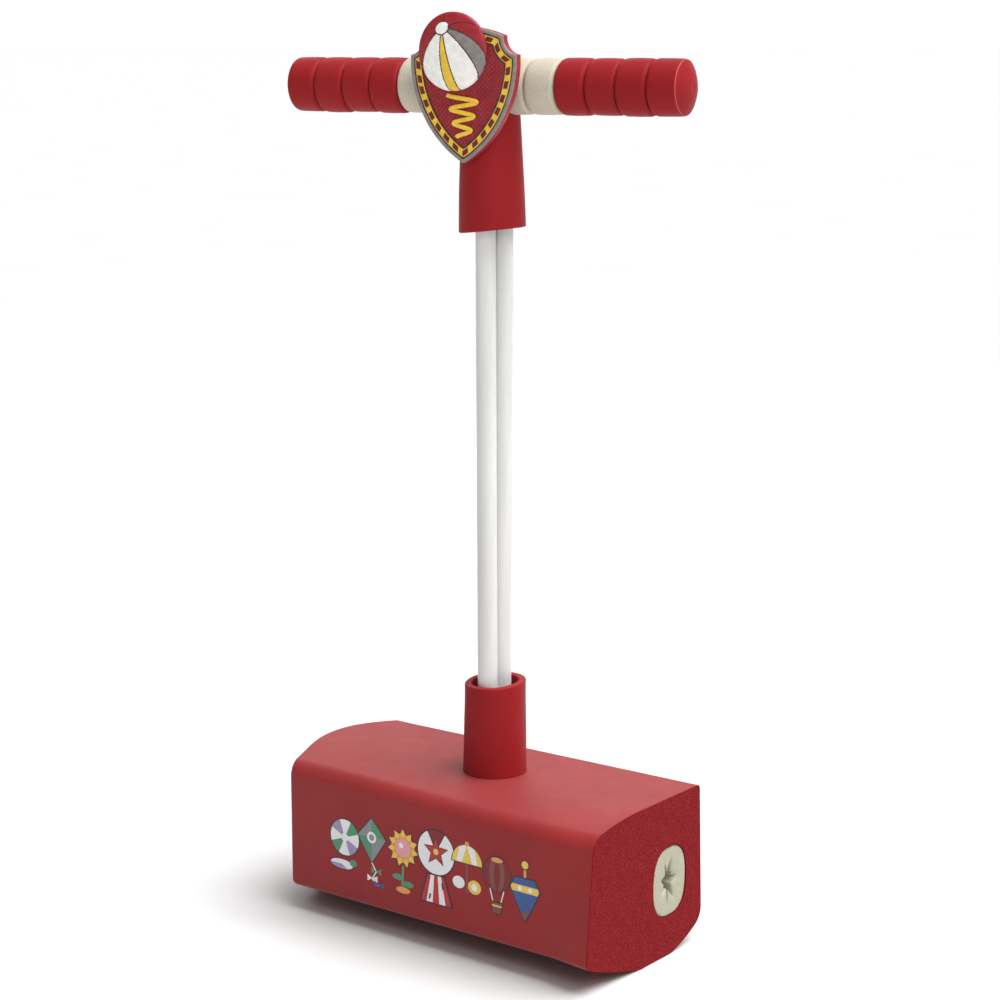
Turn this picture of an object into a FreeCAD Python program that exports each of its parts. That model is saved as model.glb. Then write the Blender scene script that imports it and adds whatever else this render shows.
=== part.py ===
import FreeCAD, Part
import math
import os

# A child's foam pogo jumper. Millimetres, +Z up. The origin is where the stem's centre line meets
# the surface that the base rests on. +X is to the child's side, +Y is away from the badge.

V = FreeCAD.Vector

# Driving dimensions: foam base
BASE_RIGHT_X = 135.0
BASE_FRONT_Y = -70.0
BASE_REAR_Y_AT_RIGHT = 62.0
BASE_REAR_Y_AT_LEFT = 54.5
BASE_REAR_LEAN = 3.8
BASE_HEIGHT = 115.0
BASE_FRONT_EDGE_RADIUS = 14.0
BASE_REAR_EDGE_RADIUS = 2.5
LEFT_END_FRONT_X = -134.5
LEFT_END_REAR_X = -135.5
LEFT_END_APEX = (-157.0, 4.0)
LEFT_END_FRONT_MID = (-147.5, -34.0)
LEFT_END_REAR_MID = (-151.0, 32.0)
SOLE_FRONT_Y = -8.0
SOLE_REAR_Y = 26.0
SOLE_FRONT_RISE_AT_LEFT = 19.4
SOLE_FRONT_RISE_AT_RIGHT = 20.4
SOLE_REAR_RISE = 12.0
SOLE_REAR_CORNER_RADIUS = 10.0

# Driving dimensions: stem
CORD_DIAMETER = 14.8
CORD_SPACING = 15.0
CORD_FOOT_Z = 24.0
CORD_HEAD_Z = 577.0
CORD_CUTS_Z = (185.0, 245.0, 305.0, 405.0)
CORD_TURN_FROM_Z = 62.0
CORD_TURN_TO_Z = 549.0
CORD_HEAD_TURN_DEG = 70.0
LOWER_SLEEVE_FOOT_DIAMETER = 45.6
LOWER_SLEEVE_TOP_DIAMETER = 43.6
LOWER_SLEEVE_TOP_Z = 183.0
LOWER_SLEEVE_CENTRE_X = 0.9
UPPER_SLEEVE_FOOT_DIAMETER = 46.3
UPPER_SLEEVE_MIDDLE_DIAMETER = 43.7
UPPER_SLEEVE_TOP_DIAMETER = 38.4
UPPER_SLEEVE_FOOT_Z = 500.0
UPPER_SLEEVE_MIDDLE_Z = 541.0
UPPER_SLEEVE_TOP_Z = 587.0
UPPER_SLEEVE_FOOT_SLANT_DEG = 6.0
UPPER_SLEEVE_FOOT_X = -1.2
UPPER_SLEEVE_UPPER_X = -2.0
UPPER_SLEEVE_MIDDLE_WALL = 3.4
UPPER_SLEEVE_TOP_WALL = 1.5
SLEEVE_WALL = 5.0

# Driving dimensions: handle
HANDLE_Z = 597.0
HANDLE_TURN_DEG = 9.3
GRIP_SHIFT = -6.5
RING_DIAMETER = 38.0
RING_WIDTH = 22.4
END_RING_WIDTH = 25.3
CENTRE_RING_WIDTH = 30.4
RING_EDGE_RADIUS = 3.5
END_RING_EDGE_RADIUS = 6.0
END_RING_CLOSED_DEPTH = 14.0
END_RING_DOME = 1.4
TUBE_DIAMETER = 22.0
TUBE_WALL = 2.0
HUB_BARREL_DIAMETER = 27.0
RINGS_EACH_SIDE = 6
RED_RINGS_EACH_SIDE = 4

# Driving dimensions: badge, with its heights measured from the handle's centre line
BADGE_CENTRE_X = -6.2
BADGE_BACK_Y = -25.2
BADGE_THICKNESS = 5.6
BADGE_HALF_WIDTH = 40.3
BADGE_TIP_Z = -51.0
BADGE_SHOULDER_Z = 21.0
BADGE_NOTCH_X = 30.5
BADGE_NOTCH_Z = 33.5
BADGE_TOP_Z = 39.5
BADGE_RIM_WIDTH = 2.6
BADGE_LINE_WIDTH = 1.0
BADGE_BAND_WIDTH = 5.0
BADGE_RIM_HEIGHT = 1.6
BADGE_BAND_HEIGHT = 1.0
BADGE_FIELD_HEIGHT = 0.6
BALL_RADIUS = 26.0
BALL_SHIFT_X = -7.5
BALL_CENTRE_Z = 23.0
BALL_HEIGHT = 6.0
DASH_LENGTH = 5.4
DASH_WIDTH = 3.0
DASH_PITCH = 9.2

# Sizes that several pieces share
BOSS_LENGTH = 32.8
BOSS_DEPTH = 18.4
PIN_DIAMETER = 4.0
FIT = 0.1

FLANGE_LENGTH = 56.0
FLANGE_DEPTH = 38.0
FLANGE_THICKNESS = 4.0
FLANGE_TOP_Z = 16.0
BASE_BOSS_TOP_Z = 60.0
BASE_PIN_Z = 40.0
SLEEVE_SEAT_Z = 91.0
POCKET_GAP = 1.0

HUB_BOSS_FOOT_Z = 550.0
HUB_BOSS_TOP_Z = 578.0
HUB_PIN_Z = 563.0

PLUG_CENTRE_Y = 25.5
PLUG_CENTRE_Z = 54.0
PLUG_WIDTH = 40.0
PLUG_HEIGHT = 50.0
PLUG_DEPTH = 26.0
PLUG_RECESS = 0.6
CHANNEL_DEPTH = 92.0
BULB_RADIUS = 15.0
BULB_WALL = 1.4
REED_RADIUS = 6.0
REED_LENGTH = 9.0
SCREW_DIAMETER = 3.0
SCREW_SPACING = 14.0


def box(x0, x1, y0, y1, z0, z1):
    return Part.makeBox(x1 - x0, y1 - y0, z1 - z0, V(x0, y0, z0))


def stadium(length, depth, z0, z1, centre_x=0.0):
    """An upright bar whose plan is a slot: straight sides along X with round ends."""
    r = depth / 2
    half = length / 2 - r
    body = box(centre_x - half, centre_x + half, -r, r, z0, z1)
    ends = [Part.makeCylinder(r, z1 - z0, V(centre_x + s * half, 0, z0)) for s in (-1, 1)]
    return body.fuse(ends).removeSplitter()


def about_stem(solid, degrees):
    """Turns a solid that was drawn along X about the stem, to follow the pair of cords."""
    moved = solid.copy()
    moved.rotate(V(0, 0, 0), V(0, 0, 1), degrees)
    return moved


def rounded_bar(length, depth, radius, z0, z1):
    """An upright bar with a rounded rectangle as its plan, centred on the stem."""
    bar = box(-length / 2, length / 2, -depth / 2, depth / 2, z0, z1)
    upright = [e for e in bar.Edges if abs(e.tangentAt(e.FirstParameter).z) > 0.9]
    return bar.makeFillet(radius, upright)


def turned(half_section, axis):
    """A solid of revolution from a closed half-section drawn in the XZ plane."""
    return Part.Face(Part.Wire(half_section)).revolve(V(0, 0, 0), axis, 360)


def line(a, b):
    return Part.LineSegment(a, b).toShape()


def arc(a, b, c):
    return Part.Arc(a, b, c).toShape()


def on_handle(shape):
    """Places a shape drawn about the handle's own centre, its X along the handle, on the stem."""
    placed = shape.copy()
    placed.rotate(V(0, 0, 0), V(0, 0, 1), HANDLE_TURN_DEG)
    placed.translate(V(0, 0, HANDLE_Z))
    return placed


# ---------------------------------------------------------------- foam base

def base_section(x, rear_top, front_rise):
    """Closed outline across the base at x: flat top, a rear face that leans out towards its foot, and a
    sole with a flat middle that curves up to the front and to the rear."""
    front = BASE_FRONT_Y
    rear = rear_top + BASE_REAR_LEAN
    top = BASE_HEIGHT
    r_top = BASE_FRONT_EDGE_RADIUS
    r_back = BASE_REAR_EDGE_RADIUS
    r_foot = SOLE_REAR_CORNER_RADIUS
    k = 1 - math.sqrt(0.5)

    def at(y, z):
        return V(x, y, z)

    front_mid = at((SOLE_FRONT_Y + front) / 2, 0.40 * front_rise)
    rear_end_y = rear - 0.7 * r_foot
    rear_mid = at((SOLE_REAR_Y + rear_end_y) / 2, 0.37 * SOLE_REAR_RISE)
    corner_mid = at(rear - 0.2 * r_foot, SOLE_REAR_RISE + 0.5 * r_foot)
    corner_top = SOLE_REAR_RISE + 1.3 * r_foot
    edges = [
        line(at(SOLE_REAR_Y, 0), at(SOLE_FRONT_Y, 0)),
        arc(at(SOLE_FRONT_Y, 0), front_mid, at(front, front_rise)),
        line(at(front, front_rise), at(front, top - r_top)),
        arc(at(front, top - r_top), at(front + k * r_top, top - k * r_top), at(front + r_top, top)),
        line(at(front + r_top, top), at(rear_top - r_back, top)),
        arc(at(rear_top - r_back, top), at(rear_top - k * r_back, top - k * r_back), at(rear_top, top - r_back)),
        line(at(rear_top, top - r_back), at(rear, corner_top)),
        arc(at(rear, corner_top), corner_mid, at(rear_end_y, SOLE_REAR_RISE)),
        arc(at(rear_end_y, SOLE_REAR_RISE), rear_mid, at(SOLE_REAR_Y, 0)),
    ]
    return Part.Wire(edges)


def between_ends(x, at_left, at_right):
    """The block isn't quite square, so some of its sizes change evenly from end to end."""
    share = (x - LEFT_END_REAR_X) / (BASE_RIGHT_X - LEFT_END_REAR_X)
    return at_left + share * (at_right - at_left)


def base_plan():
    """Upright prism that trims the base's ends: the left end bows outwards, the right end is cut square."""
    past_rear = BASE_REAR_Y_AT_RIGHT + 20.0
    front_left = V(LEFT_END_FRONT_X, BASE_FRONT_Y, 0)
    rear_left = V(LEFT_END_REAR_X, BASE_REAR_Y_AT_LEFT, 0)
    along_bow = [V(*place, 0) for place in (LEFT_END_FRONT_MID, LEFT_END_APEX, LEFT_END_REAR_MID)]
    bow = Part.BSplineCurve()
    bow.interpolate([front_left] + along_bow + [rear_left])
    slope = rear_left - V(*LEFT_END_REAR_MID, 0)
    far_left = rear_left + slope * (past_rear - BASE_REAR_Y_AT_LEFT) / slope.y
    start = V(LEFT_END_FRONT_X, BASE_FRONT_Y - 1, 0)
    corner = V(BASE_RIGHT_X, BASE_FRONT_Y - 1, 0)
    far_right = V(BASE_RIGHT_X, past_rear, 0)
    edges = [
        line(start, corner),
        line(corner, far_right),
        line(far_right, far_left),
        line(far_left, rear_left),
        bow.toShape(),
        line(front_left, start),
    ]
    return Part.Face(Part.Wire(edges)).extrude(V(0, 0, BASE_HEIGHT))


def oval(half_width, half_height, x0, x1):
    """A bar along X with a slot-shaped end: as wide as the plug, taller than it is wide."""
    reach = half_height - half_width
    body = box(x0, x1, PLUG_CENTRE_Y - half_width, PLUG_CENTRE_Y + half_width,
               PLUG_CENTRE_Z - reach, PLUG_CENTRE_Z + reach)
    ends = [
        Part.makeCylinder(half_width, x1 - x0, V(x0, PLUG_CENTRE_Y, PLUG_CENTRE_Z + s * reach), V(1, 0, 0))
        for s in (-1, 1)
    ]
    return body.fuse(ends).removeSplitter()


def base_solid():
    """The foam block before anything is cut out of it."""
    reach = 5.0
    ends = []
    for x in (LEFT_END_APEX[0] - reach, BASE_RIGHT_X + reach):
        rear_top = between_ends(x, BASE_REAR_Y_AT_LEFT, BASE_REAR_Y_AT_RIGHT)
        front_rise = between_ends(x, SOLE_FRONT_RISE_AT_LEFT, SOLE_FRONT_RISE_AT_RIGHT)
        ends.append(base_section(x, rear_top, front_rise))
    return Part.makeLoft(ends, True, True).common(base_plan())


def base_block():
    right = BASE_RIGHT_X
    sleeve_seat = Part.makeCylinder(
        LOWER_SLEEVE_FOOT_DIAMETER / 2 + FIT, BASE_HEIGHT - SLEEVE_SEAT_Z,
        V(LOWER_SLEEVE_CENTRE_X, 0, SLEEVE_SEAT_Z))
    boss_room = stadium(BOSS_LENGTH + 2 * FIT, BOSS_DEPTH + 2 * FIT, FLANGE_TOP_Z - 1, SLEEVE_SEAT_Z + 1)
    boss_bore = about_stem(boss_room, 90)
    pocket = rounded_bar(FLANGE_LENGTH + POCKET_GAP, FLANGE_DEPTH + POCKET_GAP, 6, 0, FLANGE_TOP_Z + FIT)
    channel = oval(PLUG_WIDTH / 2 + FIT, PLUG_HEIGHT / 2 + FIT, right - CHANNEL_DEPTH, right)
    return base_solid().cut([sleeve_seat, boss_bore, pocket, channel])


def end_plug():
    """Foam stopper with a crumpled star-shaped air hole, in the cut end of the base."""
    right = BASE_RIGHT_X - PLUG_RECESS
    plug = oval(PLUG_WIDTH / 2, PLUG_HEIGHT / 2, right - PLUG_DEPTH, right)
    points = 7
    corners = []
    for i in range(2 * points):
        angle = math.pi * i / points + 0.25 * math.sin(2.3 * i)
        radius = 12.0 + 2.0 * math.sin(1.7 * i) if i % 2 == 0 else 5.6
        corners.append(V(right + 1, PLUG_CENTRE_Y - 1 + 0.62 * radius * math.cos(angle),
                         PLUG_CENTRE_Z + radius * math.sin(angle)))
    star = Part.Face(Part.makePolygon(corners + corners[:1]))
    return plug.cut(star.extrude(V(-PLUG_DEPTH - 2, 0, 0)))


def bulb_shells():
    """Outer and inner solids of the air bulb: a capsule with three folds, its neck towards the plug."""
    neck_x = BASE_RIGHT_X - PLUG_RECESS - PLUG_DEPTH - 2

    def shell(inset):
        r = BULB_RADIUS - inset
        fold_depth = 3.0
        length = 11.0
        x = inset
        edges = [line(V(x, 0, 0), V(x, 0, r - fold_depth))]
        for _ in range(4):
            edges.append(arc(V(x, 0, r - fold_depth), V(x + length / 2 - inset / 4, 0, r),
                             V(x + length - inset / 2, 0, r - fold_depth)))
            x += length - inset / 2
        neck_r = REED_RADIUS + BULB_WALL - inset
        tip = 4 * length + REED_LENGTH
        edges.append(line(V(x, 0, r - fold_depth), V(x, 0, neck_r)))
        edges.append(line(V(x, 0, neck_r), V(tip, 0, neck_r)))
        edges.append(line(V(tip, 0, neck_r), V(tip, 0, 0)))
        edges.append(line(V(tip, 0, 0), V(inset, 0, 0)))
        body = turned(edges, V(1, 0, 0))
        body.translate(V(neck_x - tip, PLUG_CENTRE_Y, PLUG_CENTRE_Z))
        return body

    return shell(0.0), shell(BULB_WALL)


def squeaker_bulb():
    outer, inner = bulb_shells()
    return outer.cut(inner)


def squeaker_reed():
    """Hard whistle insert that fills the bulb's neck, with the air passage through it."""
    neck_x = BASE_RIGHT_X - PLUG_RECESS - PLUG_DEPTH - 2
    start = V(neck_x - REED_LENGTH, PLUG_CENTRE_Y, PLUG_CENTRE_Z)
    insert = Part.makeCylinder(REED_RADIUS - FIT / 2, REED_LENGTH, start, V(1, 0, 0))
    passage = Part.makeCylinder(2.0, REED_LENGTH, start, V(1, 0, 0))
    tongue = box(start.x + 2, start.x + REED_LENGTH - 2, PLUG_CENTRE_Y - 2.2, PLUG_CENTRE_Y + 2.2,
                 PLUG_CENTRE_Z - 0.3, PLUG_CENTRE_Z + 0.3)
    return insert.cut(passage).fuse(tongue).removeSplitter()


def base_anchor():
    """Plastic foot inside the base: a flange that bears up on the foam, and a socket for each cord."""
    flange = rounded_bar(FLANGE_LENGTH, FLANGE_DEPTH, 6, FLANGE_TOP_Z - FLANGE_THICKNESS, FLANGE_TOP_Z)
    boss = about_stem(stadium(BOSS_LENGTH, BOSS_DEPTH, FLANGE_TOP_Z, BASE_BOSS_TOP_Z), 90)
    sockets = [straight_cord(side, 0.05, CORD_FOOT_Z, BASE_BOSS_TOP_Z + 1) for side in (-1, 1)]
    return flange.fuse(boss).removeSplitter().cut(sockets + [base_pin_bar(0.05)])


def base_pin_bar(extra):
    length = BOSS_LENGTH - 1.0
    return Part.makeCylinder(PIN_DIAMETER / 2 + extra, length, V(0, -length / 2, BASE_PIN_Z), V(0, 1, 0))


def base_cover_pad():
    """Foam pad that closes the pocket below the anchor. Its underside carries on the curve of the sole."""
    pad = rounded_bar(FLANGE_LENGTH, FLANGE_DEPTH, 5.5, 0, FLANGE_TOP_Z - FLANGE_THICKNESS - FIT)
    return pad.common(base_solid())


def lower_sleeve():
    r_foot = LOWER_SLEEVE_FOOT_DIAMETER / 2
    r_top = LOWER_SLEEVE_TOP_DIAMETER / 2
    rim = 1.5
    k = 1 - math.sqrt(0.5)
    seat = SLEEVE_SEAT_Z
    top = LOWER_SLEEVE_TOP_Z
    r_in = r_top - SLEEVE_WALL
    edges = [
        line(V(r_in, 0, seat), V(r_foot, 0, seat)),
        line(V(r_foot, 0, seat), V(r_foot, 0, BASE_HEIGHT)),
        line(V(r_foot, 0, BASE_HEIGHT), V(r_top, 0, top - rim)),
        arc(V(r_top, 0, top - rim), V(r_top - k * rim, 0, top - k * rim), V(r_top - rim, 0, top)),
        line(V(r_top - rim, 0, top), V(r_in + rim, 0, top)),
        arc(V(r_in + rim, 0, top), V(r_in + k * rim, 0, top - k * rim), V(r_in, 0, top - rim)),
        line(V(r_in, 0, top - rim), V(r_in, 0, seat)),
    ]
    sleeve = turned(edges, V(0, 0, 1))
    sleeve.translate(V(LOWER_SLEEVE_CENTRE_X, 0, 0))
    return sleeve


# ---------------------------------------------------------------- elastic cords

def cord_angle(z):
    """Which way the pair of cords lies, seen from above: straight across the base at the foot, then winding
    a little round the stem on the way up."""
    share = min(1.0, max(0.0, (z - CORD_TURN_FROM_Z) / (CORD_TURN_TO_Z - CORD_TURN_FROM_Z)))
    return math.radians(90.0 + (CORD_HEAD_TURN_DEG - 90.0) * share)


def cord_centre(side, z):
    reach = side * CORD_SPACING / 2
    return V(reach * math.cos(cord_angle(z)), reach * math.sin(cord_angle(z)), z)


def straight_cord(side, extra, z0, z1):
    """A stretch of cord in its socket, where the pair doesn't turn."""
    middle = cord_centre(side, (z0 + z1) / 2)
    return Part.makeCylinder(CORD_DIAMETER / 2 + extra, z1 - z0, V(middle.x, middle.y, z0))


def winding_cord(side, z0, z1):
    """A stretch of cord where the pair winds round the stem's centre line."""
    steps = max(2, round((z1 - z0) / 12.0))
    heights = [z0 + (z1 - z0) * k / steps for k in range(steps + 1)]
    circles = [Part.Wire(Part.makeCircle(CORD_DIAMETER / 2, cord_centre(side, z))) for z in heights]
    return Part.makeLoft(circles, True, False)


def cord_pieces():
    """Each cord is one real piece. It is divided at the heights where it bends, twists or stretches."""
    heights = (CORD_FOOT_Z,) + CORD_CUTS_Z + (CORD_HEAD_Z,)
    names = ("root", "lower", "middle", "upper", "head")
    pieces = {}
    for side, side_name in ((-1, "left"), (1, "right")):
        for name, z0, z1 in zip(names, heights, heights[1:]):
            if name == "root":
                socket = straight_cord(side, 0.0, z0, CORD_TURN_FROM_Z)
                piece = winding_cord(side, CORD_TURN_FROM_Z, z1).fuse(socket).cut(base_pin_bar(0.02))
            elif name == "head":
                socket = straight_cord(side, 0.0, CORD_TURN_TO_Z, z1)
                piece = winding_cord(side, z0, CORD_TURN_TO_Z).fuse(socket).cut(hub_pin_bar(0.02))
            else:
                piece = winding_cord(side, z0, z1)
            pieces[side_name + "_cord_" + name] = piece
    return pieces


# ---------------------------------------------------------------- handle

def hub_pin_bar(extra):
    length = BOSS_LENGTH - 1.0
    bar = Part.makeCylinder(PIN_DIAMETER / 2 + extra, length, V(-length / 2, 0, HUB_PIN_Z), V(1, 0, 0))
    return about_stem(bar, CORD_HEAD_TURN_DEG)


def handle_hub():
    """Plastic T-joint: a barrel round the handle's tube, a neck, and a boss with a socket for each cord."""
    barrel_x0 = GRIP_SHIFT - CENTRE_RING_WIDTH / 2 + 0.3
    barrel_length = CENTRE_RING_WIDTH - 0.6
    barrel = Part.makeCylinder(HUB_BARREL_DIAMETER / 2, barrel_length, V(barrel_x0, 0, 0), V(1, 0, 0))
    neck_x1 = barrel_x0 + barrel_length - 1
    neck = box(-BOSS_LENGTH / 2 + 1, neck_x1, -BOSS_DEPTH / 2 + 1, BOSS_DEPTH / 2 - 1,
               HUB_BOSS_TOP_Z - HANDLE_Z - 1, -TUBE_DIAMETER / 2)
    bore = Part.makeCylinder(TUBE_DIAMETER / 2 + FIT, barrel_length + 2, V(barrel_x0 - 1, 0, 0), V(1, 0, 0))
    upper = on_handle(barrel.fuse(neck).removeSplitter().cut([bore] + badge_screw_bars(0.0)))
    boss = about_stem(stadium(BOSS_LENGTH, BOSS_DEPTH, HUB_BOSS_FOOT_Z, HUB_BOSS_TOP_Z), CORD_HEAD_TURN_DEG)
    sockets = [straight_cord(side, 0.05, HUB_BOSS_FOOT_Z - 1, CORD_HEAD_Z) for side in (-1, 1)]
    return upper.fuse(boss).removeSplitter().cut(sockets + [hub_pin_bar(0.05)])


def grip_half_length():
    return CENTRE_RING_WIDTH / 2 + (RINGS_EACH_SIDE - 1) * RING_WIDTH + END_RING_WIDTH


def handle_tube():
    half = grip_half_length() - END_RING_CLOSED_DEPTH
    start = V(GRIP_SHIFT - half, 0, 0)
    outer = Part.makeCylinder(TUBE_DIAMETER / 2, 2 * half, start, V(1, 0, 0))
    inner = Part.makeCylinder(TUBE_DIAMETER / 2 - TUBE_WALL, 2 * half, start, V(1, 0, 0))
    return on_handle(outer.cut(inner))


def tube_plug(side):
    """Moulded plug pressed into the end of the tube, so that its edge can't cut the foam."""
    half = grip_half_length() - END_RING_CLOSED_DEPTH
    end = V(GRIP_SHIFT + side * half, 0, 0)
    inwards = V(-side, 0, 0)
    cap = Part.makeCylinder(TUBE_DIAMETER / 2, 2.0, end, V(side, 0, 0))
    spigot = Part.makeCylinder(TUBE_DIAMETER / 2 - TUBE_WALL - FIT, 14.0, end, inwards)
    hollow = Part.makeCylinder(TUBE_DIAMETER / 2 - TUBE_WALL - 2.0, 12.0, end + inwards * 2.0, inwards)
    return on_handle(cap.fuse(spigot).removeSplitter().cut(hollow))


def ring_blank(x0, width, bore_radius):
    """A foam ring along the handle: barrel outside with both edges rounded over."""
    r = RING_DIAMETER / 2
    e = RING_EDGE_RADIUS
    k = 1 - math.sqrt(0.5)
    x1 = x0 + width
    edges = [
        line(V(x0, 0, bore_radius), V(x0, 0, r - e)),
        arc(V(x0, 0, r - e), V(x0 + k * e, 0, r - k * e), V(x0 + e, 0, r)),
        line(V(x0 + e, 0, r), V(x1 - e, 0, r)),
        arc(V(x1 - e, 0, r), V(x1 - k * e, 0, r - k * e), V(x1, 0, r - e)),
        line(V(x1, 0, r - e), V(x1, 0, bore_radius)),
        line(V(x1, 0, bore_radius), V(x0, 0, bore_radius)),
    ]
    return turned(edges, V(1, 0, 0))


def end_ring(side):
    """The outermost ring: its bore is blind, its rim is rounder and its end has a shallow dimple."""
    r = RING_DIAMETER / 2
    e = RING_EDGE_RADIUS
    f = END_RING_EDGE_RADIUS
    k = 1 - math.sqrt(0.5)
    inner_x = grip_half_length() - END_RING_WIDTH
    outer_x = grip_half_length() + END_RING_DOME
    bore_radius = TUBE_DIAMETER / 2 + FIT
    bore_end_x = grip_half_length() - END_RING_CLOSED_DEPTH + 2.0 + FIT
    dimple_radius = 3.0
    dimple_depth = 1.0
    edges = [
        line(V(inner_x, 0, bore_radius), V(inner_x, 0, r - e)),
        arc(V(inner_x, 0, r - e), V(inner_x + k * e, 0, r - k * e), V(inner_x + e, 0, r)),
        line(V(inner_x + e, 0, r), V(outer_x - f, 0, r)),
        arc(V(outer_x - f, 0, r), V(outer_x - k * f, 0, r - k * f), V(outer_x, 0, r - f)),
        line(V(outer_x, 0, r - f), V(outer_x, 0, dimple_radius)),
        line(V(outer_x, 0, dimple_radius), V(outer_x - dimple_depth, 0, 0)),
        line(V(outer_x - dimple_depth, 0, 0), V(bore_end_x, 0, 0)),
        line(V(bore_end_x, 0, 0), V(bore_end_x, 0, bore_radius)),
        line(V(bore_end_x, 0, bore_radius), V(inner_x, 0, bore_radius)),
    ]
    ring = turned(edges, V(1, 0, 0))
    if side < 0:
        ring = ring.mirror(V(0, 0, 0), V(1, 0, 0))
    ring.translate(V(GRIP_SHIFT, 0, 0))
    return on_handle(ring)


def grip_rings():
    """Six rings on each side of the centre one, counted outwards: two cream, then four red."""
    rings = {}
    for side, side_name in ((-1, "left"), (1, "right")):
        for i in range(RINGS_EACH_SIDE):
            is_red = i >= RINGS_EACH_SIDE - RED_RINGS_EACH_SIDE
            number = i - (RINGS_EACH_SIDE - RED_RINGS_EACH_SIDE) + 1 if is_red else i + 1
            name = "_".join((side_name, "red" if is_red else "cream", "ring", str(number)))
            if i == RINGS_EACH_SIDE - 1:
                rings[name] = end_ring(side)
                continue
            near = CENTRE_RING_WIDTH / 2 + i * RING_WIDTH
            x0 = GRIP_SHIFT + (near if side > 0 else -near - RING_WIDTH)
            rings[name] = on_handle(ring_blank(x0, RING_WIDTH, TUBE_DIAMETER / 2 + FIT))
    return rings


def centre_ring():
    """The wider cream ring over the hub's barrel, slotted below for the neck, drilled for the screws."""
    x0 = GRIP_SHIFT - CENTRE_RING_WIDTH / 2
    blank = ring_blank(x0, CENTRE_RING_WIDTH, HUB_BARREL_DIAMETER / 2 + FIT)
    slot = box(-BOSS_LENGTH / 2 + 0.5, x0 + CENTRE_RING_WIDTH - 1, -BOSS_DEPTH / 2 + 0.5, BOSS_DEPTH / 2 - 0.5,
               -RING_DIAMETER / 2 - 1, 0)
    return on_handle(blank.cut([slot] + badge_screw_bars(0.3)))


def upper_sleeve():
    """Foam sleeve under the handle: flared and cut at a slant at its foot, saddled round the rings above."""
    reach = 4.0
    foot_z = UPPER_SLEEVE_FOOT_Z - HANDLE_Z - reach
    middle_z = UPPER_SLEEVE_MIDDLE_Z - HANDLE_Z
    top_z = UPPER_SLEEVE_TOP_Z - HANDLE_Z

    def flared_bar(foot_inset, middle_inset, top_inset):
        stations = (
            (UPPER_SLEEVE_FOOT_DIAMETER / 2 - foot_inset, V(UPPER_SLEEVE_FOOT_X, 0, foot_z)),
            (UPPER_SLEEVE_MIDDLE_DIAMETER / 2 - middle_inset, V(UPPER_SLEEVE_UPPER_X, 0, middle_z)),
            (UPPER_SLEEVE_TOP_DIAMETER / 2 - top_inset, V(UPPER_SLEEVE_UPPER_X, 0, top_z)),
        )
        circles = [Part.Wire(Part.makeCircle(radius, centre)) for radius, centre in stations]
        return Part.makeLoft(circles, True, False)

    bore = flared_bar(SLEEVE_WALL, UPPER_SLEEVE_MIDDLE_WALL, UPPER_SLEEVE_TOP_WALL)
    tube = flared_bar(0.0, 0.0, 0.0).cut(bore)
    slant_cut = box(-60, 60, -60, 60, -60, 0)
    slant_cut.rotate(V(0, 0, 0), V(0, 1, 0), -UPPER_SLEEVE_FOOT_SLANT_DEG)
    slant_cut.translate(V(0, 0, UPPER_SLEEVE_FOOT_Z - HANDLE_Z))
    saddle = Part.makeCylinder(RING_DIAMETER / 2 + FIT, 120, V(-60, 0, 0), V(1, 0, 0))
    return on_handle(tube.cut([slant_cut, saddle]))


# ---------------------------------------------------------------- badge

def shield_wire(inset, y):
    """Shield outline, drawn in the XZ plane: shoulders with a step up to a low crown, bowed sides, a tip.
    A positive inset moves the whole outline inwards."""
    w = BADGE_HALF_WIDTH
    tip = V(0, 0, BADGE_TIP_Z)
    crown = V(0, 0, BADGE_TOP_Z)

    def corner(side):
        shoulder = V(side * w, 0, BADGE_SHOULDER_Z)
        waist = V(side * 0.80 * w, 0, BADGE_SHOULDER_Z - 38.0)
        step_mid = V(side * (BADGE_NOTCH_X + 2.2), 0, BADGE_SHOULDER_Z + 4.5)
        notch = V(side * BADGE_NOTCH_X, 0, BADGE_NOTCH_Z)
        crown_mid = V(side * BADGE_NOTCH_X * 0.5, 0, BADGE_TOP_Z - 1.6)
        return shoulder, waist, step_mid, notch, crown_mid

    r_shoulder, r_waist, r_step, r_notch, r_crown = corner(1)
    l_shoulder, l_waist, l_step, l_notch, l_crown = corner(-1)
    outline = Part.Wire([
        arc(tip, r_waist, r_shoulder),
        arc(r_shoulder, r_step, r_notch),
        arc(r_notch, r_crown, crown),
        arc(crown, l_crown, l_notch),
        arc(l_notch, l_step, l_shoulder),
        arc(l_shoulder, l_waist, tip),
    ])
    if inset:
        outline = outline.makeOffset2D(-inset, 2)
    outline.translate(V(BADGE_CENTRE_X, y, 0))
    return outline


def shield(inset, y_back, y_front):
    """Solid shield between two planes. The front is the lower Y."""
    return Part.Face(shield_wire(inset, y_back)).extrude(V(0, y_front - y_back, 0))


def badge_front_y():
    return BADGE_BACK_Y - BADGE_THICKNESS


def badge_screw_bars(extra):
    """Two screw shanks from the badge's back plate to the hub's barrel, in the handle's own frame."""
    length = 16.0
    return [
        Part.makeCylinder(SCREW_DIAMETER / 2 + extra, length,
                          V(BADGE_CENTRE_X + s * SCREW_SPACING / 2, badge_front_y() + 2.0, 0), V(0, 1, 0))
        for s in (-1, 1)
    ]


def badge_screws():
    heads = [
        Part.makeCylinder(SCREW_DIAMETER, 2.0,
                          V(BADGE_CENTRE_X + s * SCREW_SPACING / 2, badge_front_y(), 0), V(0, 1, 0))
        for s in (-1, 1)
    ]
    screws = [on_handle(head.fuse(shank).removeSplitter()) for head, shank in zip(heads, badge_screw_bars(0.0))]
    return Part.makeCompound(screws)


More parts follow.
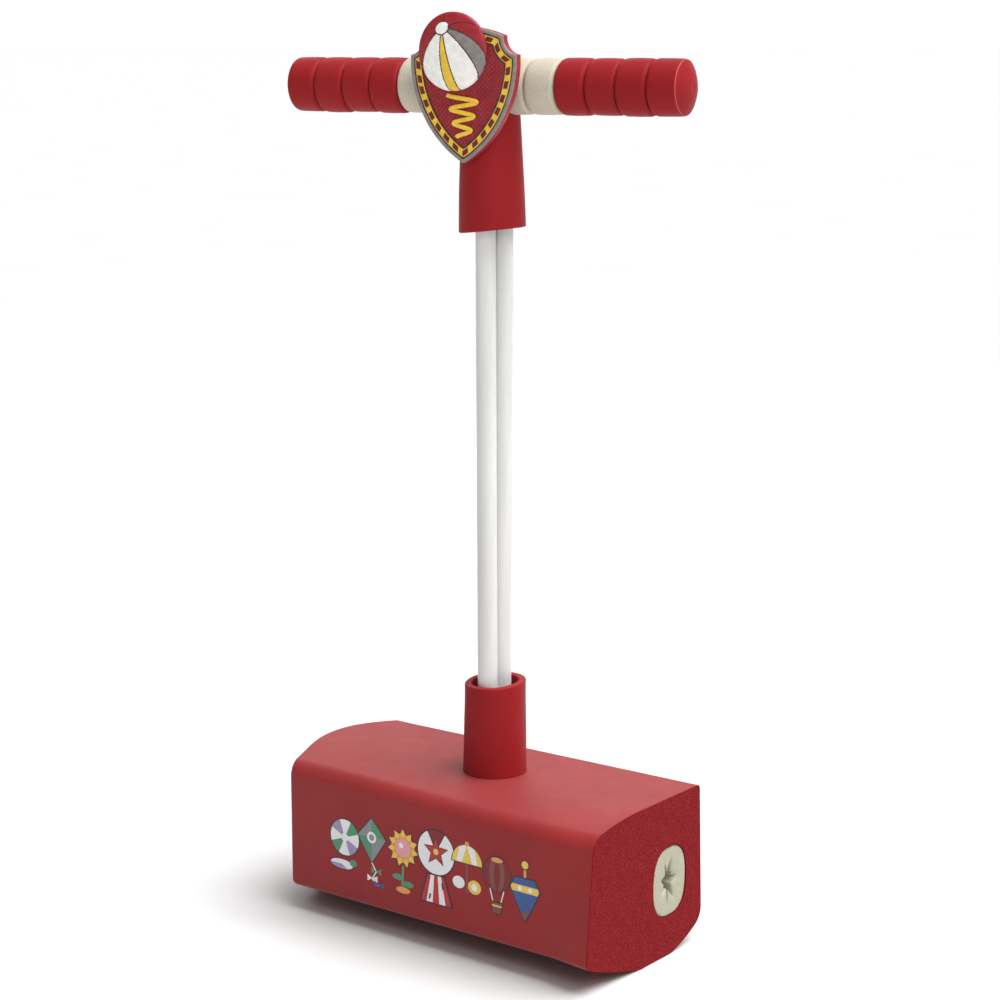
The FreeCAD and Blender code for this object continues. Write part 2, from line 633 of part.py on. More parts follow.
def badge_plate():
    plate = shield(0, BADGE_BACK_Y, badge_front_y())
    head_holes = [
        Part.makeCylinder(SCREW_DIAMETER + FIT, 2.0,
                          V(BADGE_CENTRE_X + s * SCREW_SPACING / 2, badge_front_y(), 0), V(0, 1, 0))
        for s in (-1, 1)
    ]
    return on_handle(plate.cut(head_holes + badge_screw_bars(FIT)))


def badge_saddle():
    """Foam pad between the badge and the rings, hollowed to sit on their round front."""
    foot = UPPER_SLEEVE_TOP_Z - HANDLE_Z + 0.4
    pad = box(BADGE_CENTRE_X - 24, BADGE_CENTRE_X + 24, BADGE_BACK_Y, -12.0, foot, 13.0)
    along = [e for e in pad.Edges if abs(e.tangentAt(e.FirstParameter).y) > 0.9]
    pad = pad.makeFillet(5.0, along)
    round_front = Part.makeCylinder(RING_DIAMETER / 2 + FIT, 120, V(-60, 0, 0), V(1, 0, 0))
    return on_handle(pad.cut([round_front] + badge_screw_bars(0.3)))


def badge_rim():
    y = badge_front_y()
    rim = shield(0, y, y - BADGE_RIM_HEIGHT)
    return on_handle(rim.cut(shield(BADGE_RIM_WIDTH, y, y - BADGE_RIM_HEIGHT)))


def band_inset():
    return BADGE_RIM_WIDTH + BADGE_LINE_WIDTH


def badge_band():
    y = badge_front_y()
    band = shield(band_inset(), y, y - BADGE_BAND_HEIGHT)
    return on_handle(band.cut(shield(band_inset() + BADGE_BAND_WIDTH, y, y - BADGE_BAND_HEIGHT)))


def badge_field():
    y = badge_front_y()
    inset = band_inset() + BADGE_BAND_WIDTH + BADGE_LINE_WIDTH
    field = shield(inset, y, y - BADGE_FIELD_HEIGHT)
    return on_handle(field)


def badge_studs():
    """Low dashes, evenly spaced round the middle of the band and turned to follow it."""
    y = badge_front_y() - BADGE_BAND_HEIGHT
    path = shield_wire(band_inset() + BADGE_BAND_WIDTH / 2, 0)
    places = path.discretize(Number=round(path.Length / DASH_PITCH) + 1)
    studs = []
    for before, here, after in zip(places[-2:-1] + places[:-2], places[:-1], places[1:]):
        lean = math.degrees(math.atan2(after.z - before.z, after.x - before.x))
        dash = box(-DASH_LENGTH / 2, DASH_LENGTH / 2, y - 0.5, y, -DASH_WIDTH / 2, DASH_WIDTH / 2)
        dash.rotate(V(0, 0, 0), V(0, 1, 0), -lean)
        dash.translate(V(here.x, 0, here.z))
        studs.append(on_handle(dash))
    return Part.makeCompound(studs)


def ball_lens():
    """A low dome: the part of a large sphere that stands in front of the badge's field."""
    y = badge_front_y() - BADGE_FIELD_HEIGHT
    sphere_radius = (BALL_RADIUS ** 2 + BALL_HEIGHT ** 2) / (2 * BALL_HEIGHT)
    centre = V(BADGE_CENTRE_X + BALL_SHIFT_X, y - BALL_HEIGHT + sphere_radius, BALL_CENTRE_Z)
    ball = Part.makeSphere(sphere_radius, centre)
    return ball.common(box(-80, 80, y - 20, y, -80, 80))


def badge_ball():
    """The bouncing ball of the badge's picture, cut back where it would cross the rim and band."""
    dome = ball_lens()
    y = badge_front_y() - BADGE_FIELD_HEIGHT
    inside = shield(band_inset() + BADGE_BAND_WIDTH, badge_front_y(), y - 1.2)
    clear = shield(0, badge_front_y(), y - 1.2).cut(inside)
    return on_handle(dome.cut(clear))


def badge_spring():
    """The zigzag coil of the badge's picture, as one bar bent to and fro below the ball."""
    y = badge_front_y() - BADGE_FIELD_HEIGHT
    turns = 4
    top_z = BALL_CENTRE_Z - BALL_RADIUS - 1.5
    bottom_z = -34.0
    pitch = (top_z - bottom_z) / turns
    thickness = 2.6
    bars = []
    for i in range(turns):
        half = 12.0 - 2.0 * i
        z = top_z - (i + 0.5) * pitch
        bar = box(-half, half, y - 1.6, y, -thickness / 2, thickness / 2)
        bar.rotate(V(0, 0, 0), V(0, 1, 0), 14)
        bar.translate(V(BADGE_CENTRE_X, 0, z))
        bars.append(bar)
    return Part.makeCompound([on_handle(b) for b in bars])


# ---------------------------------------------------------------- all pieces

def pieces():
    parts = {
        "base_block": base_block(),
        "base_end_plug": end_plug(),
        "squeaker_bulb": squeaker_bulb(),
        "squeaker_reed": squeaker_reed(),
        "base_anchor": base_anchor(),
        "base_anchor_pin": base_pin_bar(0.0),
        "base_cover_pad": base_cover_pad(),
        "lower_sleeve": lower_sleeve(),
        "upper_sleeve": upper_sleeve(),
        "handle_hub": handle_hub(),
        "hub_pin": hub_pin_bar(0.0),
        "handle_tube": handle_tube(),
        "left_tube_plug": tube_plug(-1),
        "right_tube_plug": tube_plug(1),
        "centre_ring": centre_ring(),
        "badge_saddle": badge_saddle(),
        "badge_plate": badge_plate(),
        "badge_screws": badge_screws(),
        "badge_rim": badge_rim(),
        "badge_band": badge_band(),
        "badge_studs": badge_studs(),
        "badge_field": badge_field(),
        "badge_ball": badge_ball(),
        "badge_spring": badge_spring(),
    }
    parts.update(cord_pieces())
    parts.update(grip_rings())
    return parts


os.makedirs("parts", exist_ok=True)
for node, shape in pieces().items():
    shape.exportStep("parts/" + node + ".step")
    low = shape.BoundBox
    print(node, "valid" if shape.isValid() else "INVALID", len(shape.Solids), "solids",
          round(shape.Volume), "mm3", "z", round(low.ZMin, 1), round(low.ZMax, 1))
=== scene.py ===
import math

import bmesh
import bpy
import numpy as np
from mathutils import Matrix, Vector, noise
from mathutils.geometry import tessellate_polygon


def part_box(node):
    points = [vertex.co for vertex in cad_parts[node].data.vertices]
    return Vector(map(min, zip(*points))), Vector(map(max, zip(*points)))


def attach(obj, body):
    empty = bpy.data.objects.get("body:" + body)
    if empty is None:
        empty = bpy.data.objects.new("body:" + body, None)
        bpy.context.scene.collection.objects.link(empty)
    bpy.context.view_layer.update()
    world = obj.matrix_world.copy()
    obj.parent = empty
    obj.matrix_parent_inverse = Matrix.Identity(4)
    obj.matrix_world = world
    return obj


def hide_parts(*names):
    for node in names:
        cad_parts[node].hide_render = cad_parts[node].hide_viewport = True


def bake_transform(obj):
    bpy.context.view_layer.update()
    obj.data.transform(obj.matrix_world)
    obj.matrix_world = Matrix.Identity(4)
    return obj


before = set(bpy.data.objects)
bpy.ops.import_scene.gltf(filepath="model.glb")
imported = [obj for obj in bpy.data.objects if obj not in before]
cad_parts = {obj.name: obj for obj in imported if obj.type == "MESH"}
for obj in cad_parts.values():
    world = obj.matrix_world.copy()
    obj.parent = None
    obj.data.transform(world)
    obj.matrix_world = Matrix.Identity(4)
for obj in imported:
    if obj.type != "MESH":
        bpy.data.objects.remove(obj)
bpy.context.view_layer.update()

# A child's foam pogo jumper: padded base block, two elastic cords, foam-ringed T handle and a badge.
# Lengths are in metres; MM turns millimetres into metres.
MM = 0.001

# The camera stands to the right of the printed side, a little above the middle of the stem.
CAMERA_PLACE = Vector((981.5, -1261.0, 624.0)) * MM
CAMERA_TURN_DEG = 37.75
CAMERA_DOWN_DEG = 11.06
CAMERA_LENS = 83.74


def add_camera():
    data = bpy.data.cameras.new("camera")
    data.sensor_width = 36.0
    data.lens = CAMERA_LENS
    camera = bpy.data.objects.new("camera", data)
    camera.location = CAMERA_PLACE
    camera.rotation_euler = (math.radians(90.0 - CAMERA_DOWN_DEG), 0.0, math.radians(CAMERA_TURN_DEG))
    bpy.context.scene.collection.objects.link(camera)
    bpy.context.scene.camera = camera


add_camera()

# ---------------------------------------------------------------- places taken from the frame

BLOCK_LOW, BLOCK_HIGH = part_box("base_block")
PLUG_LOW, PLUG_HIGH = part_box("base_end_plug")
PAD_LOW, PAD_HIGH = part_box("base_cover_pad")
PLUG_Y, PLUG_Z = (PLUG_LOW.y + PLUG_HIGH.y) / 2, (PLUG_LOW.z + PLUG_HIGH.z) / 2
PLUG_HALF_W, PLUG_HALF_H = (PLUG_HIGH.y - PLUG_LOW.y) / 2, (PLUG_HIGH.z - PLUG_LOW.z) / 2
PLUG_GAP = 0.3 * MM
PLUG_HOLE_DEPTH = 27.0 * MM
SLEEVE_LOW, SLEEVE_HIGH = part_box("lower_sleeve")
TUBE_LOW, TUBE_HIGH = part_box("handle_tube")
HANDLE_Z = (TUBE_LOW.z + TUBE_HIGH.z) / 2
HANDLE_TURN = math.radians(9.3)
GRIP_SHIFT = (TUBE_LOW.x + TUBE_HIGH.x) / 2 / math.cos(HANDLE_TURN)

# the bowed left end, seen from above, as (y, x); then the slopes and roundings of the block's section
LEFT_END = ((-70.0, -134.5), (-34.0, -147.5), (4.0, -157.0), (32.0, -151.0), (54.5, -135.5))
REAR_TOP_AT_LEFT = 54.5 * MM
REAR_TOP_AT_RIGHT = 62.0 * MM
REAR_LEAN = 3.8 * MM
SOLE_FRONT, SOLE_REAR = -8.0 * MM, 26.0 * MM
SOLE_FRONT_RISE_AT_LEFT, SOLE_FRONT_RISE_AT_RIGHT = 19.4 * MM, 20.4 * MM
SOLE_REAR_RISE = 12.0 * MM
# height of each curved part of the sole at its middle, as a share of its rise
SOLE_FRONT_BELLY, SOLE_REAR_BELLY = 0.40, 0.37
REAR_CORNER = 10.0 * MM
POCKET_GAP = 0.5 * MM
POCKET_SHOWN_DEPTH = 7.0 * MM


def srgb(red, green, blue):
    """Linear colour of a screen colour given in 0 to 255."""
    def linear(c):
        c = c / 255.0
        return c / 12.92 if c <= 0.04045 else ((c + 0.055) / 1.055) ** 2.4
    return (linear(red), linear(green), linear(blue), 1.0)


# ---------------------------------------------------------------- materials

class Nodes:
    """A material's node tree, with short ways to add the few kinds of node used here."""

    def __init__(self, name):
        self.material = bpy.data.materials.new(name)
        self.material.use_nodes = True
        self.tree = self.material.node_tree
        self.shader = self.tree.nodes["Principled BSDF"]
        self.place = self.tree.nodes.new("ShaderNodeTexCoord").outputs["Object"]

    def link(self, source, target):
        self.tree.links.new(source, target)

    def noise(self, scale, detail=3.0, rough=0.5, stretch=None):
        node = self.tree.nodes.new("ShaderNodeTexNoise")
        node.inputs["Scale"].default_value = scale
        node.inputs["Detail"].default_value = detail
        node.inputs["Roughness"].default_value = rough
        self.link(self.stretched(stretch) if stretch else self.place, node.inputs["Vector"])
        return node.outputs["Fac"]

    def stretched(self, factors):
        node = self.tree.nodes.new("ShaderNodeMapping")
        node.inputs["Scale"].default_value = factors
        self.link(self.place, node.inputs["Vector"])
        return node.outputs["Vector"]

    def cells(self, scale):
        node = self.tree.nodes.new("ShaderNodeTexVoronoi")
        node.inputs["Scale"].default_value = scale
        self.link(self.place, node.inputs["Vector"])
        return node.outputs["Distance"]

    def ramp(self, value, *stops):
        """Maps a value to colours or greys. Each stop is (place, colour)."""
        node = self.tree.nodes.new("ShaderNodeValToRGB")
        ramp = node.color_ramp
        while len(ramp.elements) < len(stops):
            ramp.elements.new(0.5)
        for element, (place, colour) in zip(ramp.elements, stops):
            element.position = place
            element.color = colour if hasattr(colour, "__len__") else (colour, colour, colour, 1.0)
        self.link(value, node.inputs["Fac"])
        return node.outputs["Color"]

    def mix(self, factor, first, second, kind="MIX"):
        node = self.tree.nodes.new("ShaderNodeMix")
        node.data_type = "RGBA"
        node.blend_type = kind
        for socket, value in ((node.inputs[0], factor), (node.inputs[6], first), (node.inputs[7], second)):
            if isinstance(value, bpy.types.NodeSocket):
                self.link(value, socket)
            else:
                socket.default_value = value
        return node.outputs[2]

    def add(self, first, second, share=1.0):
        """first plus share times second."""
        node = self.tree.nodes.new("ShaderNodeMath")
        node.operation = "MULTIPLY_ADD"
        self.link(second, node.inputs[0])
        node.inputs[1].default_value = share
        self.link(first, node.inputs[2])
        return node.outputs[0]

    def bump(self, height, depth, strength=1.0):
        node = self.tree.nodes.new("ShaderNodeBump")
        node.inputs["Strength"].default_value = strength
        node.inputs["Distance"].default_value = depth
        self.link(height, node.inputs["Height"])
        self.link(node.outputs["Normal"], self.shader.inputs["Normal"])

    def set(self, **values):
        for name, value in values.items():
            self.shader.inputs[name.replace("_", " ")].default_value = value


def skin_foam(name, deep, pale, sheen, shine):
    """Closed moulded skin of soft foam: matte, faintly mottled, with a fine orange-peel surface."""
    n = Nodes(name)
    broad = n.ramp(n.noise(16.0, 4.0), (0.30, deep), (0.72, pale))
    fine = n.ramp(n.noise(1100.0, 2.0), (0.30, 0.86), (0.65, 1.0))
    n.link(n.mix(0.5, broad, fine, "MULTIPLY"), n.shader.inputs["Base Color"])
    n.link(n.ramp(n.noise(60.0, 3.0), (0.3, 0.50), (0.7, 0.60)), n.shader.inputs["Roughness"])
    n.bump(n.add(n.noise(1500.0, 2.0), n.noise(140.0, 2.0), 1.5), 0.08 * MM, 0.45)
    n.set(Sheen_Weight=sheen, Sheen_Roughness=0.5, Specular_IOR_Level=shine)
    return n.material


def cut_foam(name, pit, bead, grain=760.0, depth=0.55):
    """Foam that was sawn through: open grains with darker pits between them."""
    n = Nodes(name)
    beads = n.cells(grain)
    rough = n.noise(grain * 1.9, 3.0, 0.7)
    height = n.add(rough, beads, -0.9)
    n.link(n.ramp(height, (0.02, pit), (0.42, bead)), n.shader.inputs["Base Color"])
    n.bump(height, depth * MM, 0.9)
    n.set(Roughness=0.86, Sheen_Weight=0.02, Specular_IOR_Level=0.05)
    return n.material


def cream_foam(name):
    """Cream ring foam: lightly speckled, open-pored and dull."""
    n = Nodes(name)
    patches = n.ramp(n.noise(1100.0, 4.0, 0.75), (0.30, srgb(176, 168, 150)), (0.66, srgb(202, 195, 178)))
    broad = n.ramp(n.noise(60.0, 3.0), (0.3, 0.90), (0.7, 1.0))
    n.link(n.mix(0.8, patches, broad, "MULTIPLY"), n.shader.inputs["Base Color"])
    n.bump(n.add(n.noise(1200.0, 4.0, 0.7), n.cells(900.0), -0.5), 0.20 * MM, 0.6)
    n.set(Roughness=0.82, Sheen_Weight=0.06, Specular_IOR_Level=0.15)
    return n.material


def cord_rubber(name):
    """Smooth white elastic: satin, with faint lengthwise shading and a trace of dirt."""
    n = Nodes(name)
    long_streaks = n.noise(120.0, 3.0, 0.5, stretch=(1.0, 1.0, 0.08))
    n.link(n.ramp(long_streaks, (0.3, srgb(203, 203, 202)), (0.7, srgb(215, 215, 214))),
           n.shader.inputs["Base Color"])
    n.link(n.ramp(n.noise(300.0, 2.0), (0.3, 0.36), (0.7, 0.46)), n.shader.inputs["Roughness"])
    n.bump(n.noise(500.0, 2.0, 0.5, stretch=(1.0, 1.0, 0.2)), 0.05 * MM, 0.4)
    n.set(Specular_IOR_Level=0.30)
    return n.material


def soft_plastic(name, deep, pale, roughness=0.5):
    """Moulded soft vinyl or hard plastic: a low bloom of wear and a fine spark-eroded grain."""
    n = Nodes(name)
    n.link(n.ramp(n.noise(220.0, 4.0), (0.3, deep), (0.7, pale)), n.shader.inputs["Base Color"])
    n.link(n.ramp(n.noise(500.0, 2.0), (0.3, roughness - 0.06), (0.7, roughness + 0.08)),
           n.shader.inputs["Roughness"])
    n.bump(n.noise(1600.0, 2.0), 0.05 * MM, 0.5)
    n.set(Specular_IOR_Level=0.4)
    return n.material


def drawn_metal(name, deep, pale, roughness):
    """Drawn tube and wire: fine scratches along the work and a little tarnish."""
    n = Nodes(name)
    lines = n.noise(900.0, 3.0, 0.6, stretch=(0.05, 1.0, 1.0))
    n.link(n.ramp(n.noise(90.0, 4.0), (0.3, deep), (0.7, pale)), n.shader.inputs["Base Color"])
    n.link(n.ramp(lines, (0.3, roughness - 0.08), (0.7, roughness + 0.10)), n.shader.inputs["Roughness"])
    n.bump(lines, 0.02 * MM, 0.5)
    n.set(Metallic=1.0)
    return n.material


def printed_ink(name, colour):
    """Transfer ink on foam: it shows the foam's texture and is thin in places."""
    n = Nodes(name)
    worn = tuple(c * 0.80 for c in colour[:3]) + (1.0,)
    n.link(n.ramp(n.noise(700.0, 4.0, 0.7), (0.28, worn), (0.6, colour)), n.shader.inputs["Base Color"])
    n.bump(n.noise(1300.0, 2.0), 0.08 * MM, 0.5)
    n.set(Roughness=0.55, Specular_IOR_Level=0.4)
    return n.material


RED_SKIN = skin_foam("red_foam_skin", srgb(134, 31, 33), srgb(144, 35, 37), 0.14, 0.17)
RED_RING = skin_foam("red_foam_rings", srgb(138, 28, 32), srgb(148, 32, 36), 0.03, 0.07)
# The pale band on the end rings' crease is a painted highlight: the edge catching the light, painted into its
# colour.
RED_CREASE_HIGHLIGHT = skin_foam("red_foam_painted_crease_highlight", srgb(176, 84, 82), srgb(188, 102, 98), 0.03, 0.10)
RED_CUT = cut_foam("red_foam_cut", srgb(114, 20, 25), srgb(158, 34, 41))
CREAM = cream_foam("cream_foam")
PLUG_CREAM = cut_foam("cream_plug_foam", srgb(164, 162, 143), srgb(178, 176, 157), 1100.0, 0.15)
WHITE_CORD = cord_rubber("white_cord")
DARK_PLASTIC = soft_plastic("dark_plastic", srgb(40, 40, 43), srgb(58, 58, 61))
CLEAR_PLASTIC = soft_plastic("bulb_vinyl", srgb(178, 182, 182), srgb(206, 208, 206), 0.4)
STEEL = drawn_metal("steel_wire", srgb(150, 150, 154), srgb(190, 190, 194), 0.34)
ALUMINIUM = drawn_metal("tube_aluminium", srgb(176, 177, 180), srgb(208, 209, 211), 0.40)
BADGE_RED = soft_plastic("badge_red", srgb(138, 24, 33), srgb(158, 32, 42))
BADGE_DEEP = soft_plastic("badge_deep_red", srgb(92, 16, 24), srgb(112, 22, 30))
BADGE_GREY = soft_plastic("badge_grey", srgb(116, 109, 106), srgb(138, 131, 127))
BADGE_YELLOW = soft_plastic("badge_yellow", srgb(216, 174, 46), srgb(232, 194, 64))
BADGE_CREAM = soft_plastic("badge_cream", srgb(222, 220, 212), srgb(240, 238, 232))
BADGE_DARK = soft_plastic("badge_dark", srgb(38, 30, 32), srgb(56, 46, 48))

INK_LEVELS = {
    "white": (226, 224, 226), "lavender": (150, 140, 178), "green": (78, 138, 104),
    "grey": (132, 134, 142), "yellow": (222, 190, 84), "pink": (220, 150, 160), "orange": (214, 148, 84),
    "red": (178, 44, 48), "black": (44, 38, 44), "brown": (120, 74, 60), "wine": (122, 26, 36),
    "blue": (58, 84, 140),
}
INKS = {ink: printed_ink("ink_" + ink, srgb(*levels)) for ink, levels in INK_LEVELS.items()}


# ---------------------------------------------------------------- mesh helpers

def piece(name, verts, faces, materials, body, slot, sharp_deg=40.0, face_materials=None):
    """A named mesh in the row frame: welded, with its faces turned outwards and smooth shading."""
    mesh = bpy.data.meshes.new(name)
    mesh.from_pydata([tuple(v) for v in verts], [], faces)
    for material in materials:
        mesh.materials.append(material)
    if face_materials is not None:
        mesh.polygons.foreach_set("material_index", face_materials)
    work = bmesh.new()
    work.from_mesh(mesh)
    bmesh.ops.remove_doubles(work, verts=work.verts, dist=1e-6)
    bmesh.ops.recalc_face_normals(work, faces=work.faces)
    work.to_mesh(mesh)
    work.free()
    mesh.polygons.foreach_set("use_smooth", [True] * len(mesh.polygons))
    mesh.set_sharp_from_angle(angle=math.radians(sharp_deg))
    made = bpy.data.objects.new(name, mesh)
    bpy.context.scene.collection.objects.link(made)
    if body:
        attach(made, body)
    return made


def grid_faces(rows, cols, close_rows=False, close_cols=True):
    """Quads between neighbouring points of a grid stored row by row."""
    faces = []
    for r in range(rows if close_rows else rows - 1):
        for c in range(cols if close_cols else cols - 1):
            r2 = (r + 1) % rows
            c2 = (c + 1) % cols
            faces.append((r * cols + c, r * cols + c2, r2 * cols + c2, r2 * cols + c))
    return faces


def fan(start, count, hub):
    """Triangles from each edge of a closed row of points to one hub point."""
    return [(start + i, start + (i + 1) % count, hub) for i in range(count)]


def arc_points(centre, radius, start_deg, end_deg, count):
    """Points on an arc in a plane, both ends included."""
    angles = np.radians(np.linspace(start_deg, end_deg, count))
    return [(centre[0] + radius * math.cos(a), centre[1] + radius * math.sin(a)) for a in angles]


def soft_noise(point, scale, seed):
    """Smooth noise between -1 and 1, with features about scale metres across."""
    return noise.noise(Vector(point) / scale + Vector((seed, seed * 1.7, seed * 0.3)))


def lathe(profile, segments, place, closed):
    """Turns (along, radius) points about an axis. place(along, u, w) gives the point in the row frame."""
    verts = []
    for i in range(segments):
        angle = 2 * math.pi * i / segments
        for along, radius in profile:
            verts.append(place(along, radius * math.cos(angle), radius * math.sin(angle)))
    return verts, grid_faces(segments, len(profile), close_rows=True, close_cols=closed)


ROUND_SEGMENTS = 128


def on_handle(x, y, z):
    """A point of the handle's own frame, X along the grip, in the row frame."""
    c, s = math.cos(HANDLE_TURN), math.sin(HANDLE_TURN)
    return (x * c - y * s, x * s + y * c, z + HANDLE_Z)


# ---------------------------------------------------------------- base block

LEFT_CURVE = np.polyfit([y * MM for y, _ in LEFT_END], [x * MM for _, x in LEFT_END], 4)


def block_left_x(y):
    """X of the bowed left end at a given Y. Past the last point it runs on straight."""
    last = LEFT_END[-1][0] * MM
    if y > last:
        return float(np.polyval(LEFT_CURVE, last) + (y - last) * np.polyval(np.polyder(LEFT_CURVE), last))
    return float(np.polyval(LEFT_CURVE, y))


def smooth_step(value):
    value = min(1.0, max(0.0, value))
    return value * value * (3 - 2 * value)


def ease(value, start, over):
    """0 up to start, then smoothly to 1 over the next stretch, both in millimetres."""
    return smooth_step((value - start * MM) / (over * MM))


def circle_through(a, b, c):
    """Centre and radius of the circle through three points of a plane."""
    (ax, ay), (bx, by), (cx, cy) = a, b, c
    d = 2 * (ax * (by - cy) + bx * (cy - ay) + cx * (ay - by))
    aa, bb, cc = ax ** 2 + ay ** 2, bx ** 2 + by ** 2, cx ** 2 + cy ** 2
    ux = (aa * (by - cy) + bb * (cy - ay) + cc * (ay - by)) / d
    uy = (aa * (cx - bx) + bb * (ax - cx) + cc * (bx - ax)) / d
    return (ux, uy), math.hypot(ax - ux, ay - uy)


def arc_through(a, b, c, count):
    """Points on the arc from a through b towards c, without c itself."""
    (ux, uy), radius = circle_through(a, b, c)
    start, middle, end = (math.atan2(p[1] - uy, p[0] - ux) for p in (a, b, c))
    turn = (end - start) % (2 * math.pi)
    if (middle - start) % (2 * math.pi) > turn:
        turn -= 2 * math.pi
    angles = [start + turn * i / count for i in range(count)]
    return [(ux + radius * math.cos(a), uy + radius * math.sin(a)) for a in angles]


def straight(a, b, count):
    """Points from a towards b, without b itself."""
    return [(a[0] + (b[0] - a[0]) * i / count, a[1] + (b[1] - a[1]) * i / count) for i in range(count)]


def share_along(x):
    """0 at the block's left end, 1 at its right end."""
    left = LEFT_END[-1][1] * MM
    return (x - left) / (BLOCK_HIGH.x - left)


def sole_front_rise(x):
    return SOLE_FRONT_RISE_AT_LEFT + share_along(x) * (SOLE_FRONT_RISE_AT_RIGHT - SOLE_FRONT_RISE_AT_LEFT)


def sole_front_z(y, rise):
    """Height of the sole where it curves up to the printed side."""
    front = BLOCK_LOW.y
    middle = ((SOLE_FRONT + front) / 2, SOLE_FRONT_BELLY * rise)
    (cy, cz), radius = circle_through((SOLE_FRONT, 0.0), middle, (front, rise))
    return cz - math.sqrt(radius ** 2 - (y - cy) ** 2) if y < SOLE_FRONT else 0.0


POCKET_FIRST = 4
POCKET_STEPS = (18, 8)


def block_section(x):
    """Closed outline of the block across x, as (y, z), from the sole's rear end round by the front."""
    front, top = BLOCK_LOW.y, BLOCK_HIGH.z
    along = share_along(x)
    rise = sole_front_rise(x)
    rear_top = REAR_TOP_AT_LEFT + along * (REAR_TOP_AT_RIGHT - REAR_TOP_AT_LEFT)
    rear = rear_top + REAR_LEAN
    r_top = 10.5 * MM
    r_back = 2.8 * MM
    foot = 4.5 * MM
    pocket_rear, pocket_front = PAD_HIGH.y + POCKET_GAP, PAD_LOW.y - POCKET_GAP
    rear_end = rear - 0.7 * REAR_CORNER
    corner_mid = (rear - 0.2 * REAR_CORNER, SOLE_REAR_RISE + 0.5 * REAR_CORNER)
    corner_top = SOLE_REAR_RISE + 1.3 * REAR_CORNER
    rear_mid = ((SOLE_REAR + rear_end) / 2, SOLE_REAR_BELLY * SOLE_REAR_RISE)
    k = 1 - math.sqrt(0.5)
    points = straight((SOLE_REAR, 0.0), (pocket_rear, 0.0), POCKET_FIRST)
    points += straight((pocket_rear, 0.0), (SOLE_FRONT, 0.0), POCKET_STEPS[0])
    curved = straight((SOLE_FRONT, 0), (pocket_front, 0), POCKET_STEPS[1])
    curved += straight((pocket_front, 0), (front + foot, 0), 28)
    points += [(y, sole_front_z(y, rise)) for y, _ in curved]
    a, b = (front + foot, sole_front_z(front + foot, rise)), (front, rise)
    c = (front, rise + foot)
    points += [tuple((1 - t) ** 2 * a[i] + 2 * t * (1 - t) * b[i] + t * t * c[i] for i in (0, 1))
               for t in np.linspace(0.0, 1.0, 9)[:-1]]
    points += straight(c, (front, top - r_top), 48)
    points += arc_through((front, top - r_top), (front + k * r_top, top - k * r_top), (front + r_top, top),
                          16)
    points += straight((front + r_top, top), (rear_top - r_back, top), 62)
    points += arc_through((rear_top - r_back, top), (rear_top - k * r_back, top - k * r_back),
                          (rear_top, top - r_back), 6)
    points += straight((rear_top, top - r_back), (rear, corner_top), 48)
    points += arc_through((rear, corner_top), corner_mid, (rear_end, SOLE_REAR_RISE), 12)
    points += arc_through((rear_end, SOLE_REAR_RISE), rear_mid, (SOLE_REAR, 0.0), 22)
    return np.array(points)


def inward_normals(points):
    """Unit normals of a closed outline that point to its inside."""
    along = np.roll(points, -1, axis=0) - np.roll(points, 1, axis=0)
    normal = np.stack([-along[:, 1], along[:, 0]], axis=1)
    normal /= np.linalg.norm(normal, axis=1)[:, None]
    if ((points.mean(axis=0) - points) * normal).sum() < 0:
        normal = -normal
    return normal


OVAL_POWER = 2.6


def oval_point(angle, half_w, half_h):
    """A point of an oval with full shoulders, about its own centre."""
    c, s = math.cos(angle), math.sin(angle)
    return (half_w * math.copysign(abs(c) ** (2 / OVAL_POWER), c),
            half_h * math.copysign(abs(s) ** (2 / OVAL_POWER), s))


